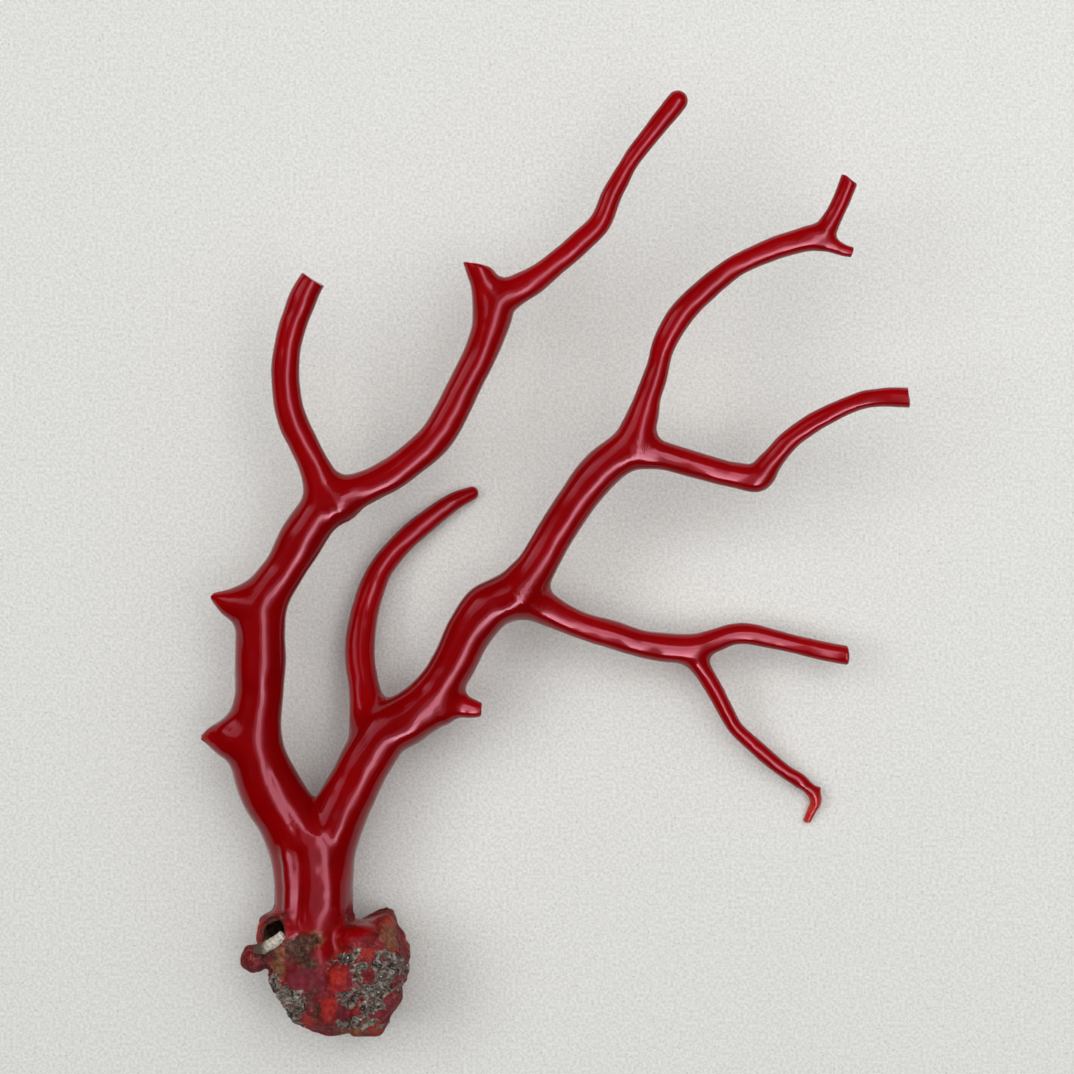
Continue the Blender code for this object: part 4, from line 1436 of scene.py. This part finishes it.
@dataclass
class CoralSkin:
    """The coral as one unbroken skin, from the holdfast to the twigs."""

    name: str = "coral_skin"
    relief: Relief = Relief()
    voxel: float = 0.6
    holdfast_reach: float = 17.0
    flare: float = 2.6
    block_web: float = 0.6
    lobe_web: float = 1.5
    limb_web: float = 1.05
    shaft_rim: float = 0.25
    rest_height: float = 0.0
    rest_rim: float = 0.2
    cut_end: float = -9.7
    cut_rim: float = 0.5
    least_steep: float = 0.35
    longest_step: float = 0.7
    even_out: float = 0.5
    ease: float = 0.35
    # The first refinement takes what has a smaller y than these and a greater z, and the ends
    holdfast_fine: tuple[float, float] = (12.8, 0.4)
    trunk_fine: tuple[float, float] = (24.0, 11.0)
    ends_fine: float = 0.9
    # The second one takes the crust's top and the ends' rims
    crust_finest: tuple[float, float] = (12.8, 9.0)
    crust_margin: float = -0.3
    ends_finest: float = 0.35
    # Beyond this y all is polished
    polished_from: float = 14.0
    all_polished: float = 3.0
    # How far the crust runs onto the polish, and the other patches onto the crust
    crust_overlap: float = 0.4
    patch_overlap: float = 0.3
    # Painted shade in the shaft, drawn in the soot zone's colours: its depth on the wall, and how
    # fast it ends beside it
    shaft_shade: float = 1.2
    shaft_fade: float = 4.0
    # Millimetres of depth that the painted fields show from 0 to 1
    painted_span: float = 4.0
    tip_orange: float = 0.8
    replaced: tuple[str, ...] = (
        "trunk_and_holdfast", "left_limb", "left_outer_branch", "left_inner_branch",
        "right_lower_limb", "middle_branch", "right_middle_limb", "right_upper_limb",
        "upper_branch", "elbow_branch", "right_side_limb", "straight_twig", "hooked_twig",
    )
    mesh: bpy.types.Mesh | None = field(default=None, repr=False)

    def measure(self, points: np.ndarray) -> Field:
        """The whole coral's field.

        Args:
            points: Places in millimetres.

        Returns:
            The field with webbed forks, the worm's shaft and the flat faces.
        """
        form = empty_field(len(points))
        for limb in LIMBS:
            form = webbed_union(form, limb.field(points), limb.web)
        low = np.flatnonzero(points[:, 1] < self.holdfast_reach)
        place = points[low]
        base = empty_field(len(low))
        for lumps, web in ((HOLDFAST_BLOCKS, self.block_web), (HOLDFAST_LOBES, self.lobe_web)):
            for lump in lumps:
                base = webbed_union(base, lump.field(place), web)
        base.girth[:] = self.flare
        limbs = Field(form.distance[low], form.slope[low], form.girth[low])
        base = webbed_union(limbs, base, self.limb_web)
        shaft = WORM_SHAFT.field(place)
        base = trimmed(base, -shaft.distance, -shaft.slope, self.shaft_rim)
        for axis, level, rim in ((2, self.rest_height, self.rest_rim),
                                 (1, self.cut_end, self.cut_rim)):
            outward = np.zeros_like(place)
            outward[:, axis] = -1.0
            base = trimmed(base, level - place[:, axis], outward, rim)
        form.distance[low] = base.distance
        form.slope[low] = base.slope
        form.girth[low] = base.girth
        return form

    def settled(self, points: np.ndarray, rounds: int) -> np.ndarray:
        """Bring vertices onto the coral's true surface.

        Args:
            points: The vertices.
            rounds: How many steps they take.

        Returns:
            The moved vertices.
        """
        for _ in range(rounds):
            form = self.measure(points)
            steep = np.maximum(np.sum(form.slope ** 2, axis=1), self.least_steep)
            step = np.clip(form.distance / steep, -self.longest_step, self.longest_step)
            points = points - form.slope * step[:, None]
        return points

    def rough_cast(self) -> bpy.types.Mesh:
        """Join tubes, blocks and lobes, bore the shaft and remesh the lot evenly.

        Returns:
            The mesh in metres.
        """
        bm = bmesh.new()
        for limb in LIMBS:
            bm.from_mesh(tube_mesh(domed(limb.samples()[::2])))
        for form in HOLDFAST_BLOCKS + HOLDFAST_LOBES:
            form.add_to(bm)
        mesh = bpy.data.meshes.new("rough_cast")
        bm.to_mesh(mesh)
        bm.free()
        cast = scene_object("rough_cast", mesh)
        shaft = scene_object("shaft", tube_mesh(WORM_SHAFT.samples()[::2]))
        for name in ("join", "even_out"):
            remesh = cast.modifiers.new(name, "REMESH")
            remesh.mode = "VOXEL"
            remesh.voxel_size = self.voxel * MM
            if name == "join":
                bore = cast.modifiers.new("bore", "BOOLEAN")
                bore.operation = "DIFFERENCE"
                bore.solver = "EXACT"
                bore.object = shaft
        result = evaluated_mesh(cast)
        bpy.data.objects.remove(cast)
        bpy.data.objects.remove(shaft)
        return result

    def refine(self, mesh: bpy.types.Mesh, chosen: np.ndarray) -> None:
        """Divide the faces whose corners are all chosen into four.

        Args:
            mesh: The mesh to refine.
            chosen: True for each vertex that may be refined.
        """
        bm = bmesh.new()
        bm.from_mesh(mesh)
        bm.verts.ensure_lookup_table()
        edges = set()
        for face in bm.faces:
            if all(chosen[vert.index] for vert in face.verts):
                edges.update(edge.index for edge in face.edges)
        bm.edges.ensure_lookup_table()
        split = [bm.edges[index] for index in sorted(edges)]
        bmesh.ops.subdivide_edges(bm, edges=split, cuts=1, use_grid_fill=True)
        bm.to_mesh(mesh)
        bm.free()

    def end_depth(self, points: np.ndarray) -> np.ndarray:
        """Distance of each point from the nearest broken face or tip.

        Args:
            points: Places in millimetres.

        Returns:
            Distances in millimetres, negative within the end's radius.
        """
        best = np.full(len(points), FAR)
        for limb in LIMBS[1:]:
            tip = limb.route[-1][:3] if limb.broken is None else limb.broken.point
            away = np.linalg.norm(points - np.array(tip), axis=1)
            best = np.minimum(best, away - limb.route[-1][3])
        return best

    def polish_depth(self, points: np.ndarray, plan: np.ndarray) -> np.ndarray:
        """How deep in polished coral each point lies, in millimetres, negative on the rough.

        Args:
            points: Places in millimetres.
            plan: The same places as read from above.

        Returns:
            A depth for each point.
        """
        inside = np.max([patch.depth(plan) for patch in POLISHED_PATCHES], axis=0)
        low = smooth_step(7.0, 4.0, points[:, 2]) * (points[:, 1] < 12.0)
        polished = points[:, 1] > self.polished_from
        return np.where(polished, self.all_polished, inside - 2.0 * low)

    def zone_depths(self, points: np.ndarray) -> dict[Zone, np.ndarray]:
        """How deep in each zone every point lies.

        Args:
            points: Places in millimetres.

        Returns:
            Depths in millimetres by zone.
        """
        plan = read_plan(points)
        polish = self.polish_depth(points, plan)
        depths = {zone_map.zone: zone_map.depth(points, plan) for zone_map in ZONE_MAPS}
        depths[Zone.ROUGH] = -polish + layered_noise(points, ROUGH_BORDER)
        depths[Zone.CRUST] = np.minimum(depths[Zone.CRUST], -polish + self.crust_overlap)
        for zone in (Zone.SOOT, Zone.OCHRE, Zone.EMBER, Zone.PLUM):
            depths[zone] = np.minimum(depths[zone], -depths[Zone.CRUST] + self.patch_overlap)
        # Painted shade down the worm's shaft, joined to the soot zone
        bore = self.shaft_shade - self.shaft_fade * np.abs(WORM_SHAFT.field(points).distance)
        depths[Zone.SOOT] = np.maximum(depths[Zone.SOOT], bore)
        return depths

    def worked(self, points: np.ndarray) -> np.ndarray:
        """Where the first refinement is due: the holdfast, the trunk's top and all ends.

        Args:
            points: Places in millimetres.

        Returns:
            True for each vertex round which it is due.
        """
        chosen = self.end_depth(points) < self.ends_fine
        for near, height in (self.holdfast_fine, self.trunk_fine):
            chosen = chosen | ((points[:, 1] < near) & (points[:, 2] > height))
        return chosen

    def gritty(self, points: np.ndarray) -> np.ndarray:
        """Where the second refinement is due: the crust's top and the ends' rims.

        Args:
            points: Places in millimetres.

        Returns:
            True for each vertex round which it is due.
        """
        near, height = self.crust_finest
        crust = self.zone_depths(points)[Zone.CRUST] > self.crust_margin
        crust = crust & (points[:, 1] < near) & (points[:, 2] > height)
        return crust | (self.end_depth(points) < self.ends_finest)

    def paint(self, points: np.ndarray, depths: dict[Zone, np.ndarray],
              girth: np.ndarray) -> None:
        """Store what the finish reads: the zones, the girth, the hook's tip and the satin.

        Args:
            points: Where the vertices lay before the relief, in millimetres.
            depths: How deep in each zone they lie.
            girth: The limb's radius at each of them.
        """
        for zone, depth in depths.items():
            shown = np.clip(0.5 + depth / self.painted_span, 0.0, 1.0)
            set_attribute(self.mesh, zone.value, shown)
        set_attribute(self.mesh, "girth", girth)
        hook = np.array(HOOKED_TWIG.route[-2][:3])
        near = np.linalg.norm(points - hook, axis=1)
        set_attribute(self.mesh, "tip", smooth_step(4.5, 1.5, near) * self.tip_orange)
        set_attribute(self.mesh, "satin", smooth_step(11.5, 6.5, points[:, 1]))

    def build(self) -> None:
        """Make the skin's mesh with its relief and its painted fields."""
        mesh = self.rough_cast()
        points = get_points(mesh)
        LOG.info("rough cast of %d vertices", len(points))
        edges = edge_pairs(mesh)
        points = self.settled(points, 3)
        for _ in range(3):
            points = self.settled(relaxed(points, edges, self.even_out), 1)
        set_points(mesh, self.settled(points, 2))
        for choose in (self.worked, self.gritty):
            self.refine(mesh, choose(get_points(mesh)))
            points = self.settled(get_points(mesh), 2)
            set_points(mesh, self.settled(relaxed(points, edge_pairs(mesh), self.ease), 2))
        points = get_points(mesh)
        form = self.measure(points)
        normals = form.slope / np.linalg.norm(form.slope, axis=1, keepdims=True)
        depths = self.zone_depths(points)
        # The rest face stays flat
        flat = smooth_step(-0.85, -0.6, normals[:, 2]) + (points[:, 2] > 1.0)
        height = self.relief.height(points, depths) * np.clip(flat, 0.0, 1.0)
        low, high = (np.array(corner) / MM for corner in CAD_BOX)
        set_points(mesh, np.clip(points + normals * height[:, None], low, high))
        self.mesh = mesh
        self.paint(points, depths, form.girth)
        mesh.shade_smooth()

    def dress(self, finish: CoralFinish) -> bpy.types.Object:
        """Give the skin its finish and its place in the frame.

        Args:
            finish: The coral's finish.

        Returns:
            The skin's object.
        """
        self.mesh.materials.clear()
        self.mesh.materials.append(finish.make())
        skin = scene_object(self.name, self.mesh)
        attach(skin, "root")
        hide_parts(*self.replaced)
        return skin


@dataclass
class WormTube:
    """The worm's chalky tube across the holdfast's lip."""

    name: str = "chalky_worm_tube"
    route: Route = (
        (-7.2, 6.9, 16.5, 0.72), (-8.3, 6.1, 16.3, 0.86), (-9.4, 5.3, 15.6, 0.88),
        (-10.5, 4.65, 14.6, 0.90), (-11.5, 4.2, 13.6, 0.72),
    )
    sides: int = 28
    step: float = 0.14
    bore: float = 0.42
    lip: float = 0.05
    plain_below: float = 0.52
    bore_rings: tuple[float, ...] = (2.0, 1.2, 0.6, 0.2, 0.0)
    bumps: Layers = ((0.20, 1.1, 7), (0.11, 0.45, 9))
    growth_height: float = 0.03
    growth_rate: float = 9.0
    mesh: bpy.types.Mesh | None = field(default=None, repr=False)

    def build(self) -> None:
        """Make the tube: an outer wall, a rounded lip and a bore that ends blind."""
        samples = domed(smooth_route(self.route, self.step))
        centres = samples[:, :3]
        ways = np.gradient(centres, axis=0)
        ways = ways / np.linalg.norm(ways, axis=1, keepdims=True)
        side = np.cross(ways, np.array([0.0, 0.0, 1.0]))
        side = side / np.linalg.norm(side, axis=1, keepdims=True)
        rise = np.cross(side, ways)
        angles = np.linspace(0.0, 2 * math.pi, self.sides, endpoint=False)
        rings = []
        for depth in self.bore_rings:
            row = int(depth / self.step)
            radius = self.bore if depth else self.bore + self.lip
            rings.append((centres[row], side[row], rise[row], radius))
        for row in range(len(samples)):
            rings.append((centres[row], side[row], rise[row], samples[row, 3]))
        bm = bmesh.new()
        loops = []
        for centre, across, up, radius in rings:
            out = np.cos(angles)[:, None] * across + np.sin(angles)[:, None] * up
            ring = centre + radius * out
            if radius > self.plain_below:
                along = np.linalg.norm(centre - centres[0])
                growth = self.growth_height * np.sin(along * self.growth_rate)
                bumps = layered_noise(ring, self.bumps)
                ring = ring + out * (bumps + growth)[:, None]
            loops.append([bm.verts.new(place * MM) for place in ring])
        for inner, outer in zip(loops, loops[1:]):
            for k in range(self.sides):
                after = (k + 1) % self.sides
                bm.faces.new((inner[k], inner[after], outer[after], outer[k]))
        for loop in (loops[0], loops[-1]):
            bm.faces.new(loop)
        bmesh.ops.recalc_face_normals(bm, faces=bm.faces)
        self.mesh = bpy.data.meshes.new(self.name)
        bm.to_mesh(self.mesh)
        bm.free()
        self.mesh.shade_smooth()

    def dress(self, finish: ChalkFinish) -> bpy.types.Object:
        """Give the tube its finish and its place in the frame.

        Args:
            finish: The chalk's finish.

        Returns:
            The tube's object.
        """
        self.mesh.materials.append(finish.make())
        tube = scene_object(self.name, self.mesh)
        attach(tube, "root")
        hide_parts("worm_tube")
        return tube


# The stage


@dataclass(frozen=True)
class CameraSpot:
    """Straight above the branch."""

    x: float = 33.1
    y: float = 70.1
    height: float = 490.0
    lens: float = 100.0
    sensor: float = 36.0

    def make(self) -> None:
        """Create the camera and make it the scene's."""
        data = bpy.data.cameras.new("camera")
        data.lens = self.lens
        data.sensor_width = self.sensor
        camera = scene_object("camera", data)
        camera.location = (self.x * MM, self.y * MM, self.height * MM)
        bpy.context.scene.camera = camera


CAMERA = CameraSpot()


WHITE = (1.0, 1.0, 1.0)
# How high the panels lie that show in the polish
GLINT_HEIGHT = 1105.0


class LightPart(Enum):
    """What a light is for: lighting surfaces, or showing as a glint in the polish."""

    WASH = "wash"
    GLINT = "glint"


@dataclass(frozen=True)
class SoftLight:
    """A soft panel that looks straight down: centre, size and how bright its face is."""

    name: str
    centre: Point
    width: float
    length: float
    radiance: float
    tint: Colour = WHITE
    part: LightPart = LightPart.GLINT

    def make(self) -> None:
        """Create the light."""
        data = bpy.data.lights.new(self.name, "AREA")
        data.shape = "RECTANGLE"
        data.size = self.width * MM
        data.size_y = self.length * MM
        data.energy = self.radiance * math.pi * self.width * self.length * MM * MM
        data.color = self.tint
        light = scene_object(self.name, data)
        light.location = Vector(self.centre) * MM
        light.visible_glossy = self.part is LightPart.GLINT
        light.visible_diffuse = self.part is LightPart.WASH


@dataclass(frozen=True)
class GlintWindow:
    """A tall window that shows in the polish, brighter towards its near end and its left edge.

    Strips run along it and bands across it. Each strip has its start, end and share of the
    brightness, and each band its start, end and radiance.
    """

    strips: tuple[tuple[float, float, float], ...]
    bands: tuple[tuple[float, float, float], ...]

    def panes(self) -> tuple[SoftLight, ...]:
        """A light for each pane of the window.

        Returns:
            The lights, strip by strip.
        """
        panes = []
        for strip, band in itertools.product(self.strips, self.bands):
            left, right, share = strip
            near, far, radiance = band
            centre = ((left + right) / 2, (near + far) / 2, GLINT_HEIGHT)
            panes.append(SoftLight("window_pane", centre, right - left, far - near,
                                   radiance * share))
        return tuple(panes)


WINDOW = GlintWindow(
    ((235.0, 600.0, 1.05), (600.0, 820.0, 0.28), (820.0, 1200.0, 0.05)),
    ((-1750.0, -1150.0, 17.0), (-1150.0, -700.0, 13.0), (-700.0, -250.0, 9.5),
     (-250.0, 420.0, 6.2)),
)
LIGHTS = (
    SoftLight("right_wash", (520.0, 300.0, 420.0), 900.0, 1000.0, 1.0, (1.0, 0.995, 0.98),
              LightPart.WASH),
    SoftLight("left_wash", (-800.0, 230.0, 800.0), 700.0, 900.0, 3.85, (0.99, 1.0, 0.99),
              LightPart.WASH),
    SoftLight("top_wash", (60.0, 240.0, 900.0), 1000.0, 1000.0, 1.75, (0.98, 1.0, 0.99),
              LightPart.WASH),
    SoftLight("dim_glint", (125.0, -450.0, GLINT_HEIGHT), 210.0, 2300.0, 1.0),
    *WINDOW.panes(),
    SoftLight("far_pane", (-650.0, 400.0, GLINT_HEIGHT), 400.0, 400.0, 1.5),
    SoftLight("far_pane", (-1000.0, 620.0, GLINT_HEIGHT), 450.0, 450.0, 2.1),
    SoftLight("far_pane", (-1450.0, 900.0, GLINT_HEIGHT), 500.0, 500.0, 2.6),
    SoftLight("far_pane", (-1900.0, 1180.0, GLINT_HEIGHT), 550.0, 550.0, 2.6),
)


@dataclass(frozen=True)
class Stage:
    """The floor, the lights and the colour of the air."""

    floor_half: float = 1500.0
    floor_drop: float = 0.02
    air: Colour = (0.004, 0.004, 0.004)

    def make(self, finish: PaperFinish) -> bpy.types.Object:
        """Lay the floor and light it.

        Args:
            finish: The floor's finish.

        Returns:
            The floor's object.
        """
        half = self.floor_half * MM
        corners = [(-half, -half, 0.0), (half, -half, 0.0), (half, half, 0.0), (-half, half, 0.0)]
        mesh = bpy.data.meshes.new("floor")
        mesh.from_pydata(corners, [], [(0, 1, 2, 3)])
        mesh.materials.append(finish.make())
        floor = scene_object("floor", mesh)
        floor.location.z = -self.floor_drop * MM
        for light in LIGHTS:
            light.make()
        world = bpy.data.worlds.new("air")
        world.use_nodes = True
        world.node_tree.nodes["Background"].inputs["Color"].default_value = (*self.air, 1.0)
        bpy.context.scene.world = world
        bpy.context.scene.view_settings.view_transform = "Standard"
        return floor


def main() -> None:
    """Build the branch piece by piece, then the stage."""
    logging.basicConfig(level=logging.INFO, format="%(message)s")
    CAMERA.make()
    skin = CoralSkin()
    skin.build()
    made = skin.dress(CoralFinish())
    LOG.info("%s: %d faces", made.name, len(made.data.polygons))
    tube = WormTube()
    tube.build()
    made = tube.dress(ChalkFinish())
    LOG.info("%s: %d faces", made.name, len(made.data.polygons))
    Stage().make(PaperFinish())


if __name__ == "__main__":
    main()
